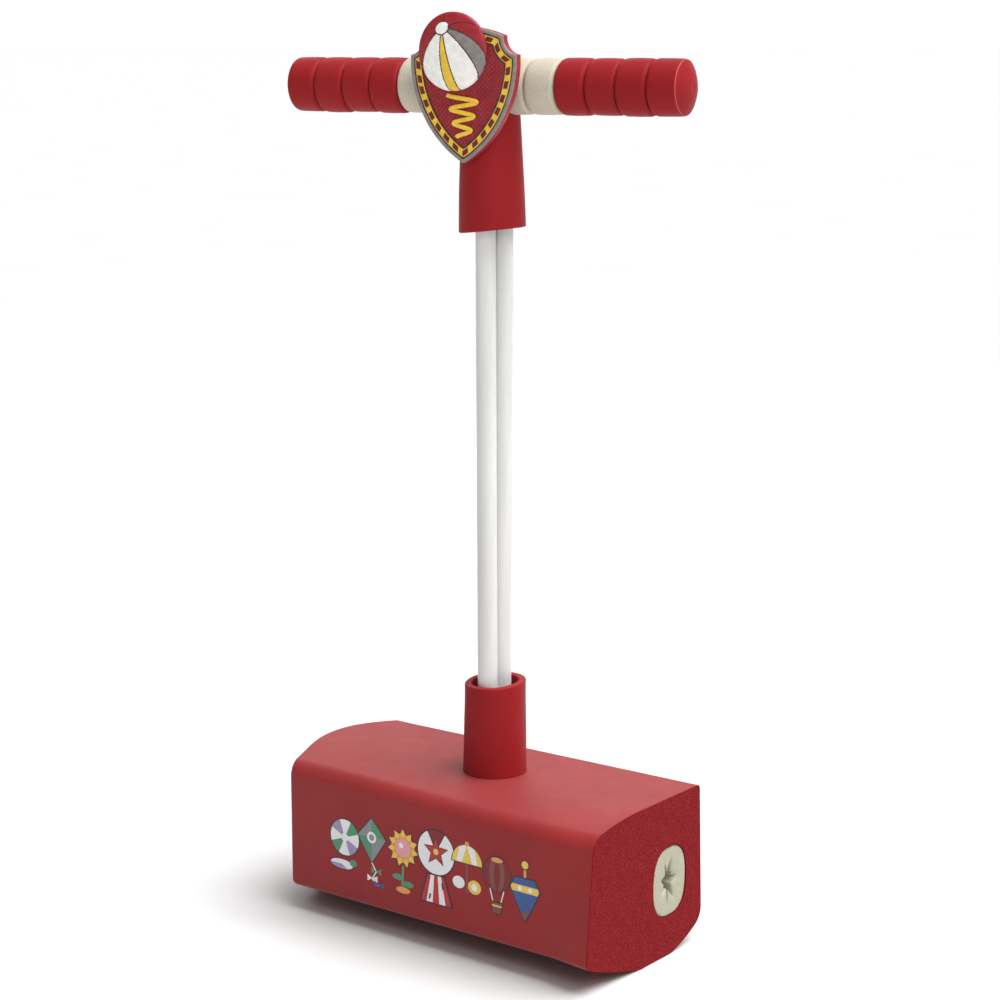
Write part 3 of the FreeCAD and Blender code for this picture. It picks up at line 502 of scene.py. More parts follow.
def base_block():
    right = BLOCK_HIGH.x
    hole_w, hole_h = PLUG_HALF_W + PLUG_GAP, PLUG_HALF_H + PLUG_GAP
    middle = np.array([-4.0 * MM, 60.0 * MM])
    even_from = -118.0 * MM
    rows = []

    # left end: from its middle out to the edge, round the edge, and on to where the skin runs even
    left_round = 2.4 * MM
    p = block_section(even_from)
    count = len(p)
    inwards = inward_normals(p)
    rim = p + inwards * left_round
    for share in np.linspace(0.04, 1.0, 24):
        ring = middle + (rim - middle) * share
        rows.append(np.column_stack([[block_left_x(y) for y in ring[:, 0]], ring]))
    for angle in np.radians([25.0, 50.0, 75.0]):
        ring = p + inwards * left_round * (1 - math.sin(angle))
        xs = np.array([block_left_x(y) for y in ring[:, 0]]) + left_round * (1 - math.cos(angle))
        rows.append(np.column_stack([xs, ring]))
    skin_from = len(rows)
    first = np.array([block_left_x(y) for y in p[:, 0]]) + left_round
    for share in np.linspace(0.0, 1.0, 7)[:-1]:
        rows.append(np.column_stack([first + (even_from - first) * share, p]))

    # the long skin
    pocket_low, pocket_high = PAD_LOW.x - POCKET_GAP, PAD_HIGH.x + POCKET_GAP
    right_round = 0.7 * MM
    stations = np.concatenate([
        np.linspace(even_from, pocket_low, 30)[:-1],
        np.linspace(pocket_low, pocket_high, 20)[:-1],
        np.linspace(pocket_high, right - right_round, 36),
    ])
    pocket_rows = []
    for x in stations:
        if pocket_low - 1e-7 <= x <= pocket_high + 1e-7:
            pocket_rows.append(len(rows))
        rows.append(np.column_stack([np.full(count, x), block_section(x)]))
    skin_rows = len(rows)

    # right end: a crisp sawn edge, then the grainy face in to the plug's hole, then the hole's wall
    p = block_section(right)
    inwards = inward_normals(p)
    rows.append(np.column_stack([np.full(count, right - 0.2 * right_round),
                                 p + inwards * 0.35 * right_round]))
    rim = p + inwards * right_round
    angles = np.arctan2((rim[:, 1] - PLUG_Z) / hole_h, (rim[:, 0] - PLUG_Y) / hole_w)
    hole = np.array([oval_point(a, hole_w, hole_h) for a in angles]) + (PLUG_Y, PLUG_Z)
    grain, patch = 1.5 * MM, 9 * MM
    for share in np.linspace(0.0, 1.0, 60):
        ring = rim + (hole - rim) * share
        fine = np.array([soft_noise((0.0, y, z), grain, seed=3.1) for y, z in ring])
        broad = np.array([soft_noise((0.0, y, z), patch, seed=5.3) for y, z in ring])
        rows.append(np.column_stack([right + (0.30 * fine + 0.35 * broad - 0.25) * MM, ring]))
    for depth in (1.0 * MM, 4.0 * MM, 9.0 * MM, 16.0 * MM, PLUG_HOLE_DEPTH):
        rows.append(np.column_stack([np.full(count, right - depth), hole]))

    # a slight unevenness in the moulded skin, none of it on the sole or the printed face
    uneven = 0.15 * MM
    for row in rows[skin_from:skin_rows]:
        inwards = inward_normals(row[:, 1:])
        for i, (x, y, z) in enumerate(row):
            if z > 30 * MM and y > BLOCK_LOW.y + 1 * MM:
                row[i][1:] += inwards[i] * uneven * (1 + soft_noise((x, y, z), 45 * MM, seed=1.3)) / 2

    # the sawn end flares at the printed side's foot and leans back above; the top crowns down to the front
    verts = []
    for x, y, z in (v for row in rows for v in row):
        by_end = ease(x, 95, 40) * ease(-y, 20, 50)
        flare = 3.8 * ease(-z, -75, 60) - 3.0 * ease(z, 60, 45)
        fall = 2.4 + 2.0 * smooth_step(share_along(x)) ** 2
        crown = fall * max(0.0, (-y - 10 * MM) / (50 * MM)) ** 2 * ease(z, 60, 50)
        verts.append((x, y - flare * by_end * MM, z - crown * MM))
    faces = grid_faces(len(rows), count)
    last = len(verts)
    verts.append((block_left_x(middle[0]), middle[0], middle[1]))
    faces += fan(0, count, last)
    verts.append((right - PLUG_HOLE_DEPTH, PLUG_Y, PLUG_Z))
    end = (len(rows) - 1) * count
    faces += fan(end, count, last + 1)

    # open the pocket in the sole and give it walls
    sole = list(range(POCKET_FIRST, POCKET_FIRST + sum(POCKET_STEPS) + 1))
    inside_rows, inside_cols = set(pocket_rows), set(sole)

    def in_pocket(face):
        return all(v < last and v // count in inside_rows and v % count in inside_cols for v in face)

    faces = [f for f in faces if not in_pocket(f)]
    loop = [(pocket_rows[0], c) for c in sole]
    loop += [(r, sole[-1]) for r in pocket_rows[1:]]
    loop += [(pocket_rows[-1], c) for c in reversed(sole[:-1])]
    loop += [(r, sole[0]) for r in reversed(pocket_rows[1:-1])]
    start = len(verts)
    for r, c in loop:
        x, y, z = verts[r * count + c]
        verts.append((x, y, POCKET_SHOWN_DEPTH))
    for k, (r, c) in enumerate(loop):
        k2 = (k + 1) % len(loop)
        r2, c2 = loop[k2]
        faces.append((r * count + c, r2 * count + c2, start + k2, start + k))
    faces.append(tuple(range(start, start + len(loop))))

    first_cut = skin_rows * count - count
    kinds = [1 if min(f) >= first_cut and min(f) < last and max(f) < start else 0 for f in faces]
    block = piece("foam_base", verts, faces, [RED_SKIN, RED_CUT], "base", "red_foam",
                  sharp_deg=38.0, face_materials=kinds)
    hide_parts("base_block")


def end_plug():
    """Oval foam stopper, a little sunk in the cut end, with a crumpled star torn through it."""
    face_x = PLUG_HIGH.x
    count = 336
    waist = 5.8
    # (place in degrees, reach, width in degrees)
    spikes = ((80, 15.5, 13), (118, 13.0, 7), (172, 10.5, 16), (215, 12.0, 11),
              (262, 15.0, 7), (298, 13.5, 14), (5, 11.0, 17), (45, 8.0, 9))
    rows = []

    def star(angle):
        """Radius of the torn hole: a waist with spikes of uneven length and width round it."""
        degrees = math.degrees(angle)
        reach = waist
        for place, length, width in spikes:
            away = (degrees - place + 180) % 360 - 180
            reach = max(reach, waist + (length - waist) * math.exp(-abs(away / width) ** 1.3))
        return reach * MM

    angles = [2 * math.pi * i / count for i in range(count)]
    centre = np.array([PLUG_Y, PLUG_Z])
    rim = centre + np.array([oval_point(a, PLUG_HALF_W, PLUG_HALF_H) for a in angles])
    hole = centre + np.array([(0.78 * star(a) * math.cos(a), star(a) * math.sin(a)) for a in angles])

    def ring(flat, x):
        rows.append(np.column_stack([np.full(count, x) if np.isscalar(x) else x, flat]))

    ring(centre + (rim - centre) * 0.99, face_x - 25.0 * MM)
    ring(rim, face_x - 6.0 * MM)
    ring(rim, face_x - 1.4 * MM)
    ring(centre + (rim - centre) * 0.985, face_x - 0.5 * MM)
    for share in np.linspace(0.0, 1.0, 24):
        flat = centre + (rim - centre) * 0.955 * (1 - share) + (hole - centre) * share
        sink = 1.6 * MM * share ** 6
        xs = [face_x - sink + 0.12 * MM * soft_noise((0.0, y, z), 2.2 * MM, seed=8.0) - 0.15 * MM
              for y, z in flat]
        ring(flat, np.array(xs))
    for depth, shrink in ((3.0, 0.97), (5.5, 0.88), (9.0, 0.76), (13.0, 0.62), (18.0, 0.52), (25.0, 0.46)):
        crumple = [1 + 0.14 * soft_noise((depth * MM, y, z), 4 * MM, seed=4.4) for y, z in hole]
        ring(centre + (hole - centre) * shrink * np.array(crumple)[:, None], face_x - depth * MM)
    verts = [tuple(v) for row in rows for v in row]
    faces = grid_faces(len(rows), count, close_rows=True)
    plug = piece("foam_end_plug", verts, faces, [PLUG_CREAM], "base", "cream_foam", sharp_deg=50.0)
    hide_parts("base_end_plug")


def cover_pad():
    """The pad that closes the pocket in the sole: a slab with rounded edges that follows the sole."""
    work = bmesh.new()
    bmesh.ops.create_cube(work, size=1.0)
    size = PAD_HIGH - PAD_LOW
    middle = (PAD_HIGH + PAD_LOW) / 2
    for v in work.verts:
        v.co = Vector((v.co.x * size.x, v.co.y * size.y, v.co.z * size.z)) + middle
    bmesh.ops.bevel(work, geom=work.edges[:], offset=1.6 * MM, segments=3, affect="EDGES", profile=0.5)
    bmesh.ops.subdivide_edges(work, edges=[e for e in work.edges if e.calc_length() > 8 * MM], cuts=10,
                              use_grid_fill=True)
    verts = []
    for v in work.verts:
        rise = sole_front_z(v.co.y, sole_front_rise(v.co.x)) * (PAD_HIGH.z - v.co.z) / size.z
        verts.append((v.co.x, v.co.y, v.co.z + rise + 0.2 * MM * (PAD_HIGH.z - v.co.z) / size.z))
    faces = [tuple(v.index for v in f.verts) for f in work.faces]
    work.free()
    pad = piece("foam_cover_pad", verts, faces, [RED_SKIN], "base", "red_foam", sharp_deg=60.0)
    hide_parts("base_cover_pad")


# ---------------------------------------------------------------- sleeves

def lower_sleeve():
    """Short foam tube standing in the base round the cords. Its top was cut a little out of square."""
    x0 = (SLEEVE_LOW.x + SLEEVE_HIGH.x) / 2
    r_foot = (SLEEVE_HIGH.x - SLEEVE_LOW.x) / 2
    r_top = 21.8 * MM
    wall = 5.0 * MM
    rim = 1.0 * MM
    seat = BLOCK_HIGH.z - 6.0 * MM
    top = SLEEVE_HIGH.z
    outer_top = top - rim
    profile = [(seat, r_foot), (BLOCK_HIGH.z, r_foot)]
    for share in np.linspace(0.0, 1.0, 26)[1:]:
        z = BLOCK_HIGH.z + (outer_top - BLOCK_HIGH.z) * share
        profile.append((z, r_foot + (r_top - r_foot) * min(1.0, share * 1.3)))
    profile += [(z, r) for r, z in arc_points((r_top - rim, outer_top), rim, 0.0, 90.0, 6)[1:]]
    profile += [(z, r) for r, z in arc_points((r_top - wall + rim, outer_top), rim, 90.0, 180.0, 6)]
    profile += [(z, r_top - wall) for z in np.linspace(outer_top, seat, 18)[1:]]
    verts, faces = lathe(profile, ROUND_SEGMENTS, lambda a, u, w: (x0 + u, w, a), closed=True)
    shaped = []
    for x, y, z in verts:
        lift = max(0.0, (z - BLOCK_HIGH.z) / (top - BLOCK_HIGH.z))
        swell = 1 + 0.010 * soft_noise((x, y, z), 30 * MM, seed=2.2) * lift
        # lowest on the left and at the front, highest at the right rear
        slope = -1.7 * MM + 1.0 * MM * (x - x0) / r_top + 1.5 * MM * y / r_top
        sag = lift ** 3 * (slope + 0.5 * MM * soft_noise((x, y, 0.0), 16 * MM, seed=6.1))
        shaped.append((x0 + (x - x0) * swell - 0.4 * MM * (1 - lift), y * swell, z + sag))
    sleeve = piece("foam_lower_sleeve", shaped, faces, [RED_RING], "base", "red_foam", sharp_deg=60.0)
    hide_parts("lower_sleeve")


RING_RADIUS = 19.0 * MM


def upper_sleeve():
    """Flared foam tube below the handle: cut at a slant at its foot, saddled to the rings at its top."""
    foot_z, top_z = -97.0 * MM, -10.0 * MM
    # three sections give its height, radius and centre; it tapers faster towards the top
    heights = (-101.0 * MM, -56.0 * MM, top_z)
    radius_at = np.polyfit(heights, (23.15 * MM, 21.85 * MM, 19.2 * MM), 2)
    centre_at = np.polyfit(heights, (-1.2 * MM, -2.0 * MM, -2.0 * MM), 2)
    slant = math.tan(math.radians(6.0))
    foot_wall, top_wall = 4.4 * MM, 1.5 * MM
    segments, steps = 144, 40
    rim = 1.2 * MM

    def wall_point(angle, share, inset):
        x, y = math.cos(angle), math.sin(angle)
        low = foot_z + slant * 23.0 * MM * x
        high = -math.sqrt(max(RING_RADIUS ** 2 - (19.2 * MM * y) ** 2, 0.0))
        z = low + (min(high, top_z) - low) * share
        r = float(np.polyval(radius_at, z)) - inset
        swell = 1 + 0.008 * soft_noise((x, y, z / (40 * MM)), 1.0, seed=9.4)
        return (float(np.polyval(centre_at, z)) + x * r * swell, y * r * swell, z)

    profile = [(0.0, foot_wall - rim), (0.0, rim)]
    profile += [(rim / (top_z - foot_z) * (1 - math.cos(a)),
                 rim * (1 - math.sin(a))) for a in np.radians([30.0, 60.0, 90.0])]
    profile += [(s, 0.0) for s in np.linspace(0.03, 1.0, steps)]
    profile += [(s, foot_wall + (top_wall - foot_wall) * s) for s in np.linspace(1.0, 0.02, steps)]
    verts = [on_handle(*wall_point(2 * math.pi * i / segments, share, inset))
             for i in range(segments) for share, inset in profile]
    faces = grid_faces(segments, len(profile), close_rows=True)
    sleeve = piece("foam_upper_sleeve", verts, faces, [RED_RING], "handle", "red_foam", sharp_deg=55.0)
    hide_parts("upper_sleeve")


# ---------------------------------------------------------------- cords

CORD_RADIUS = 7.05 * MM
CORD_REACH = 7.15 * MM
CORD_TURN_HEIGHTS = (62.0 * MM, 549.0 * MM)
CORD_TURN_DEGREES = (90.0, 70.0)


def cord_centre(side, z):
    """Centre of a cord at height z. The pair lies across the base and winds a little on its way up."""
    angle = math.radians(float(np.interp(z, CORD_TURN_HEIGHTS, CORD_TURN_DEGREES)))
    return side * CORD_REACH * math.cos(angle), side * CORD_REACH * math.sin(angle)


def cord_parts():
    """The two elastic cords: straight tubes in spans, the pair turning a little about each other on the way
    up.
    """
    spans = {
        "root": ("base", None),
        "lower": ("base", "cord_lower"),
        "middle": ("cord_lower", "cord_middle"),
        "upper": ("cord_middle", "cord_upper"),
        "head": ("cord_upper", "handle"),
    }
    segments = 48
    for side, side_name in ((-1, "left"), (1, "right")):
        for span, (below, above) in spans.items():
            node = side_name + "_cord_" + span
            low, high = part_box(node)
            z0, z1 = low.z, high.z
            steps = max(6, round((z1 - z0) / (2.5 * MM)))
            verts = []
            for k in range(steps + 1):
                z = z0 + (z1 - z0) * k / steps
                cx, cy = cord_centre(side, z)
                cx += 0.3 * MM * smooth_step((z - 0.12) / 0.05) * smooth_step((0.55 - z) / 0.05)
                for i in range(segments):
                    angle = 2 * math.pi * i / segments
                    verts.append((cx + CORD_RADIUS * math.cos(angle), cy + CORD_RADIUS * math.sin(angle), z))
            faces = grid_faces(steps + 1, segments)
            faces.append(tuple(range(segments)))
            faces.append(tuple(range(steps * segments, (steps + 1) * segments)))
            rides = None if above else below
            tube = piece("elastic_" + node, verts, faces, [WHITE_CORD], rides, "white_cord", sharp_deg=50.0)
            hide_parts(node)
            if above:
                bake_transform(tube)


# ---------------------------------------------------------------- handle rings

RING_EDGE = 3.2 * MM
END_FOAM = 13.0 * MM


def ring_profile(x0, x1, bore, radius, edge):
    """Half-section of a ring: rounded shoulders, a slightly crowned tread and a plain bore."""
    def crown(x):
        middle = (x0 + x1) / 2
        return radius - 0.30 * MM * ((x - middle) / ((x1 - x0) / 2)) ** 2
    side = crown(x0 + edge) - edge
    profile = [(x0, bore), (x0, (bore + side) / 2)]
    profile += arc_points((x0 + edge, side), edge, 180.0, 90.0, 8)
    profile += [(x, crown(x)) for x in np.linspace(x0 + edge, x1 - edge, 12)[1:-1]]
    profile += arc_points((x1 - edge, side), edge, 90.0, 0.0, 8)
    profile += [(x1, (bore + side) / 2), (x1, bore)]
    return profile


def end_profile(x0, x1, bore, radius, edge):
    """Half-section of an outermost ring: a crisp crease, painted pale as a highlight, round a gently domed
    end face with a small dimple. The second result is the range of profile points that lie on the crease."""
    dome = 4.0 * MM
    side = radius - edge
    bore_end = x1 - END_FOAM
    profile = [(bore_end, 0.0), (bore_end, bore), (x0, bore), (x0, (bore + side) / 2)]
    profile += arc_points((x0 + edge, side), edge, 180.0, 90.0, 8)
    shoulder = x1 - dome - 2.4 * MM
    profile += [(x, radius - 0.9 * MM * ((x - x0) / (x1 - x0)) ** 4)
                for x in np.linspace(x0 + edge, shoulder, 14)[1:]]
    crease_r = profile[-1][1]
    # the crease points below carry the pale painted highlight
    crease_from = len(profile)
    profile += [(shoulder + 0.75 * MM, crease_r - 0.30 * MM), (shoulder + 1.05 * MM, crease_r - 0.75 * MM)]
    crease_to = len(profile) - 1
    profile += [(shoulder + 1.45 * MM, crease_r - 1.7 * MM)]
    start_x, start_r = profile[-1]
    for share in np.linspace(0.0, 1.0, 16)[1:]:
        r = start_r * (1 - share)
        dimple = 0.8 * MM * math.exp(-(r / (2.4 * MM)) ** 2)
        profile.append((start_x + (x1 - start_x) * (1 - (r / start_r) ** 2.0) - dimple, r))
    return profile, (crease_from, crease_to)


def ring(name, x0, x1, bore, material, seed, outer_side=0):
    """One foam ring of the grip. Each differs a little in size and sits a little off centre."""
    radius = RING_RADIUS - 0.05 * MM + 0.16 * MM * math.sin(seed * 2.7)
    low, high = min(x0, x1), max(x0, x1)
    crease = (0, 0)
    if outer_side > 0:
        profile, crease = end_profile(low, high, bore, radius, RING_EDGE)
    elif outer_side < 0:
        profile, crease = end_profile(-high, -low, bore, radius, RING_EDGE)
        profile = [(-a, r) for a, r in profile]
    else:
        profile = ring_profile(low, high, bore, radius, RING_EDGE)
    off_y = 0.16 * MM * math.sin(seed * 4.1)
    off_z = 0.20 * MM * math.cos(seed * 3.3)

    def place(x, u, w):
        swell = 1 + 0.006 * soft_noise((x, u, w), 14 * MM, seed)
        return on_handle(x, u * swell + off_y, w * swell + off_z)

    verts, faces = lathe(profile, ROUND_SEGMENTS, place, closed=not outer_side)
    cols = len(profile)
    # faces on the crease take the second material, a painted highlight
    kinds = [1 if crease[0] <= min(v % cols for v in f) < crease[1] and max(v % cols for v in f) <= crease[1]
             else 0 for f in faces]
    made = piece("foam_" + name, verts, faces, [material, RED_CREASE_HIGHLIGHT], "handle",
                 "cream_foam" if material is CREAM else "red_foam", sharp_deg=50.0, face_materials=kinds)
    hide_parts(name)


def grip():
    ring_width = 22.4 * MM
    centre_width = 30.4 * MM
    tube_bore = 11.1 * MM
    barrel_bore = 13.6 * MM
    each_side, red_rings = 6, 4
    gap = 0.05 * MM
    closed_width, dome_past = 25.3 * MM, 1.4 * MM
    end_width = closed_width + dome_past
    half = centre_width / 2 - gap
    ring("centre_ring", GRIP_SHIFT - half, GRIP_SHIFT + half, barrel_bore, CREAM, 0.5)
    for side, side_name in ((-1, "left"), (1, "right")):
        for i in range(each_side):
            is_red = i >= each_side - red_rings
            number = i - (each_side - red_rings) + 1 if is_red else i + 1
            name = "_".join((side_name, "red" if is_red else "cream", "ring", str(number)))
            near = centre_width / 2 + i * ring_width
            x0 = GRIP_SHIFT + side * (near + gap)
            outer_side = side if i == each_side - 1 else 0
            x1 = GRIP_SHIFT + side * (near + (end_width if outer_side else ring_width - gap))
            ring(name, x0, x1, tube_bore, RED_RING if is_red else CREAM, 1.0 + i + 7 * (side > 0), outer_side)


# ---------------------------------------------------------------- badge

BADGE_X = -6.2 * MM
BADGE_BACK_Y = -25.2 * MM
BADGE_FRONT_Y = -30.8 * MM
BADGE_ANGLES = 720
# below this share of its height the relief shows the deep material
DEEP_BELOW = 0.42
BADGE_TURNS = np.linspace(-math.pi, math.pi, BADGE_ANGLES, endpoint=False)


def shield_outline():
    """The badge's outer edge as dense (x, z) points about its own centre: tip, bowed sides, shoulders
    with a hollow step, and a low crown."""
    half = 40.3
    shoulder_z, tip_z, notch_x, notch_z, crown_z = 21.0, -51.0, 30.5, 33.5, 39.5
    right = arc_through((0, tip_z), (0.80 * half, shoulder_z - 38.0), (half, shoulder_z), 90)
    right += arc_through((half, shoulder_z), (notch_x + 2.2, shoulder_z + 4.5), (notch_x, notch_z), 24)
    right += arc_through((notch_x, notch_z), (notch_x * 0.5, crown_z - 1.6), (0, crown_z), 40)
    left = [(-x, z) for x, z in reversed(right[1:])]
    return np.array(right + [(0.0, crown_z)] + left) * MM


SHIELD = shield_outline()


def shield_radii(inset):
    """Distance from the badge's centre to its outline moved inwards by inset, at every badge angle."""
    p = SHIELD
    if inset > 0:
        moved = p + inward_normals(p) * inset
        a, b = p, np.roll(p, -1, axis=0)
        keep = []
        for q in moved:
            share = np.clip(((q - a) * (b - a)).sum(1) / ((b - a) ** 2).sum(1), 0, 1)[:, None]
            keep.append(np.linalg.norm(q - (a + (b - a) * share), axis=1).min() >= inset * 0.985)
        p = moved[np.array(keep)]
    angles = np.arctan2(p[:, 1], p[:, 0])
    order = np.argsort(angles)
    angles, p = angles[order], p[order]
    radii = np.hypot(p[:, 0], p[:, 1])
    angles = np.concatenate([angles - 2 * math.pi, angles, angles + 2 * math.pi])
    # between two outline points the edge is straight, so 1/radius is interpolated
    return 1 / np.interp(BADGE_TURNS, angles, np.tile(1 / radii, 3))


def badge_point(x, z, height):
    """A point on the badge, height in front of its face, in the row frame."""
    return on_handle(BADGE_X + x, BADGE_FRONT_Y - height, z)


def shield_solid(name, node, stations, material, slot, relief=None, deep=None):
    """A shield-shaped solid or band. stations are (inset, height) round its section, outer back first;
    where the last inset is None the shape closes over its middle. Where the relief is low the deep
    material shows."""
    verts, low_at = [], []

    def add(x, z, height, raised):
        rise = relief(x, z) if raised and relief else 0.0
        low_at.append(rise / FIELD_RELIEF if raised and relief else 1.0)
        verts.append(badge_point(x, z, height + rise))

    closed_middle = stations[-1][0] is None
    rows = stations[:-1] if closed_middle else stations
    for inset, height in rows:
        for angle, radius in zip(BADGE_TURNS, shield_radii(inset)):
            add(radius * math.cos(angle), radius * math.sin(angle), height, False)
    if closed_middle:
        last = np.array(shield_radii(rows[-1][0]))
        top = rows[-1][1]
        fill = 80 if relief else 12
        for share in np.linspace(1.0, 0.02, fill)[1:]:
            for angle, radius in zip(BADGE_TURNS, last):
                add(share * radius * math.cos(angle), share * radius * math.sin(angle), top, True)
        total = len(rows) + fill - 1
        faces = grid_faces(total, BADGE_ANGLES)
        add(0.0, 0.0, top, False)
        start = (total - 1) * BADGE_ANGLES
        faces += fan(start, BADGE_ANGLES, len(verts) - 1)
        add(0.0, 0.0, rows[0][1], False)
        faces += fan(0, BADGE_ANGLES, len(verts) - 1)
    else:
        faces = grid_faces(len(rows), BADGE_ANGLES, close_rows=True)
    kinds = None
    if deep:
        kinds = [1 if sum(low_at[v] for v in f) / len(f) < DEEP_BELOW else 0 for f in faces]
    made = piece(name, verts, faces, [material, deep] if deep else [material], "handle", slot,
                 sharp_deg=40.0, face_materials=kinds)
    if node:
        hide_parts(node)


def band_stations(inset_a, inset_b, base, top, edge):
    """Section of a raised band between two insets, its front edges rounded."""
    k = 0.3 * edge
    return [(inset_a, base), (inset_a, top - edge), (inset_a + k, top - k), (inset_a + edge, top),
            (inset_b - edge, top), (inset_b - k, top - k), (inset_b, top - edge), (inset_b, base)]


def flat_star(cx, cz, outer, inner, points, turn=0.0):
    """Outline of a star, (x, z)."""
    return [(cx + (outer if i % 2 == 0 else inner) * math.sin(turn + math.pi * i / points),
             cz + (outer if i % 2 == 0 else inner) * math.cos(turn + math.pi * i / points))
            for i in range(2 * points)]


def prism(outline, near, far):
    """Vertices (x, z, height) and faces of a closed prism over a flat outline."""
    n = len(outline)
    verts = [(x, z, near) for x, z in outline] + [(x, z, far) for x, z in outline]
    tris = tessellate_polygon([[Vector((x, z, 0.0)) for x, z in outline]])
    faces = [tuple(t) for t in tris] + [tuple(v + n for v in t) for t in tris]
    faces += [(i, (i + 1) % n, (i + 1) % n + n, i + n) for i in range(n)]
    return verts, faces


def badge_dashes():
    """Dark red dashes along the middle of the yellow band, following it round."""
    inner, outer = shield_radii(7.5 * MM), shield_radii(4.4 * MM)
    middle = (inner + outer) / 2
    path = np.column_stack([middle * np.cos(BADGE_TURNS), middle * np.sin(BADGE_TURNS)])
    travelled = np.concatenate([[0], np.cumsum(np.linalg.norm(np.diff(path, axis=0), axis=1))])
    pitch, length = 9.2 * MM, 5.4 * MM
    base, top = 0.9 * MM, 1.35 * MM
    verts, faces = [], []
    start = 0
    while start < BADGE_ANGLES:
        phase = travelled[start] % pitch
        if phase >= length:
            start += 1
            continue
        end = start
        while (end + 1 < BADGE_ANGLES and travelled[end + 1] % pitch < length
               and travelled[end + 1] - travelled[start] < length):
            end += 1
        if end - start >= 5:
            columns = range(start, end + 1)
            first = len(verts)
            for i in columns:
                c, z = math.cos(BADGE_TURNS[i]), math.sin(BADGE_TURNS[i])
                for r, h in ((outer[i], base), (outer[i], top - 0.1 * MM), (outer[i] - 0.2 * MM, top),
                             (inner[i] + 0.2 * MM, top), (inner[i], top - 0.1 * MM), (inner[i], base)):
                    verts.append(badge_point(r * c, r * z, h))
            n = len(columns)
            faces += [tuple(first + v for v in f) for f in grid_faces(n, 6)]
            faces.append(tuple(range(first, first + 6)))
            faces.append(tuple(range(first + (n - 1) * 6, first + n * 6)))
        start = end + 1
    made = piece("badge_dashes", verts, faces, [BADGE_DEEP], "handle", "badge_dark", sharp_deg=40.0)
    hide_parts("badge_studs")


def badge_coil():
    """A coil of thick wire below the ball, drawn as one rod bent to and fro and narrowing downwards."""
    turns = 3
    top_z, bottom_z = -5.5 * MM, -33.5 * MM
    path = []
    for k in range(turns * 2 + 1):
        share = k / (turns * 2)
        half = (12.0 - 7.0 * share) * MM
        z = top_z + (bottom_z - top_z) * share
        path.append(Vector((half * (1 if k % 2 else -1), z, 0.0)))
    smooth = []
    for k in range(len(path) - 1):
        for step in range(14):
            t = step / 14
            ease = 0.5 - 0.5 * math.cos(math.pi * t)
            even = path[k].lerp(path[k + 1], t)
            eased = Vector((path[k].x + (path[k + 1].x - path[k].x) * ease, even.y, 0.0))
            smooth.append(even * 0.15 + eased * 0.85)
    smooth.append(path[-1])
    half_width, height, around = 1.5 * MM, 1.8 * MM, 12
    verts = []
    for i, q in enumerate(smooth):
        along = (smooth[min(i + 1, len(smooth) - 1)] - smooth[max(i - 1, 0)]).normalized()
        across = Vector((-along.y, along.x, 0.0))
        for k in range(around):
            a = 2 * math.pi * k / around
            spot = q + across * (half_width * math.cos(a))
            verts.append(badge_point(spot.x, spot.y, 0.7 * MM + height * 0.5 * (1 + math.sin(a)) - 0.3 * MM))
    faces = grid_faces(len(smooth), around)
    faces.append(tuple(range(around)))
    faces.append(tuple(range((len(smooth) - 1) * around, len(smooth) * around)))
    made = piece("badge_coil", verts, faces, [BADGE_YELLOW], "handle", "badge_yellow", sharp_deg=50.0)
    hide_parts("badge_spring")


BALL_RADIUS = 26.0 * MM
BALL_CENTRE = (-7.5 * MM, 23.0 * MM)
# the beach ball's pole, from the ball's centre, and its gores: (from degrees, to degrees, material)
BALL_POLE = Vector((-6.5, 15.5, 19.8)).normalized()
BALL_GORES = ((20, 90, 1), (90, 160, 1), (160, 214, 1), (214, 260, 0),
              (260, 277, 2), (277, 318, 0), (318, 346, 3), (346, 380, 1))
BUTTON_RADIUS = 5.0 * MM
SEAM = 4  # the seams' dark material
SEAM_HALF_WIDTH = 0.42 * MM


def ball_place(x, z):
    """Angle round the pole, in degrees from 20 to 380, and distance from it over the ball's surface."""
    flat = min(0.999, math.hypot(x, z) / BALL_RADIUS)
    spot = Vector((x, z, BALL_RADIUS * math.sqrt(1 - flat ** 2))).normalized()
    right = Vector((1.0, 0.0, 0.0))
    right = (right - BALL_POLE * right.dot(BALL_POLE)).normalized()
    up = BALL_POLE.cross(right)
    angle = math.degrees(math.atan2(spot.dot(up), spot.dot(right)))
    return (angle - 20) % 360 + 20, BALL_RADIUS * math.acos(min(1.0, spot.dot(BALL_POLE)))


def ball_panel(x, z):
    """Material of the beach ball here: gores that meet at a round button, with dark seams between."""
    angle, distance = ball_place(x, z)
    if distance < BUTTON_RADIUS:
        return 0
    if distance < BUTTON_RADIUS + 0.8 * MM:
        return SEAM
    for start, end, material in BALL_GORES:
        if start <= angle < end:
            across = math.sin(distance / BALL_RADIUS) * BALL_RADIUS
            near = math.radians(min(angle - start, end - angle)) * across
            return SEAM if near < SEAM_HALF_WIDTH else material
    return 0


def ball_relief(x, z):
    """Each gore is puffed up a little, so the seams lie in grooves. The button stands up."""
    if ball_place(x, z)[1] < BUTTON_RADIUS:
        return 0.5 * MM
    if ball_panel(x, z) == SEAM:
        return -0.4 * MM
    step = 0.5 * MM
    edge = any(ball_panel(x + dx, z + dz) == SEAM for dx in (-step, step) for dz in (-step, step))
    return -0.15 * MM if edge else 0.0


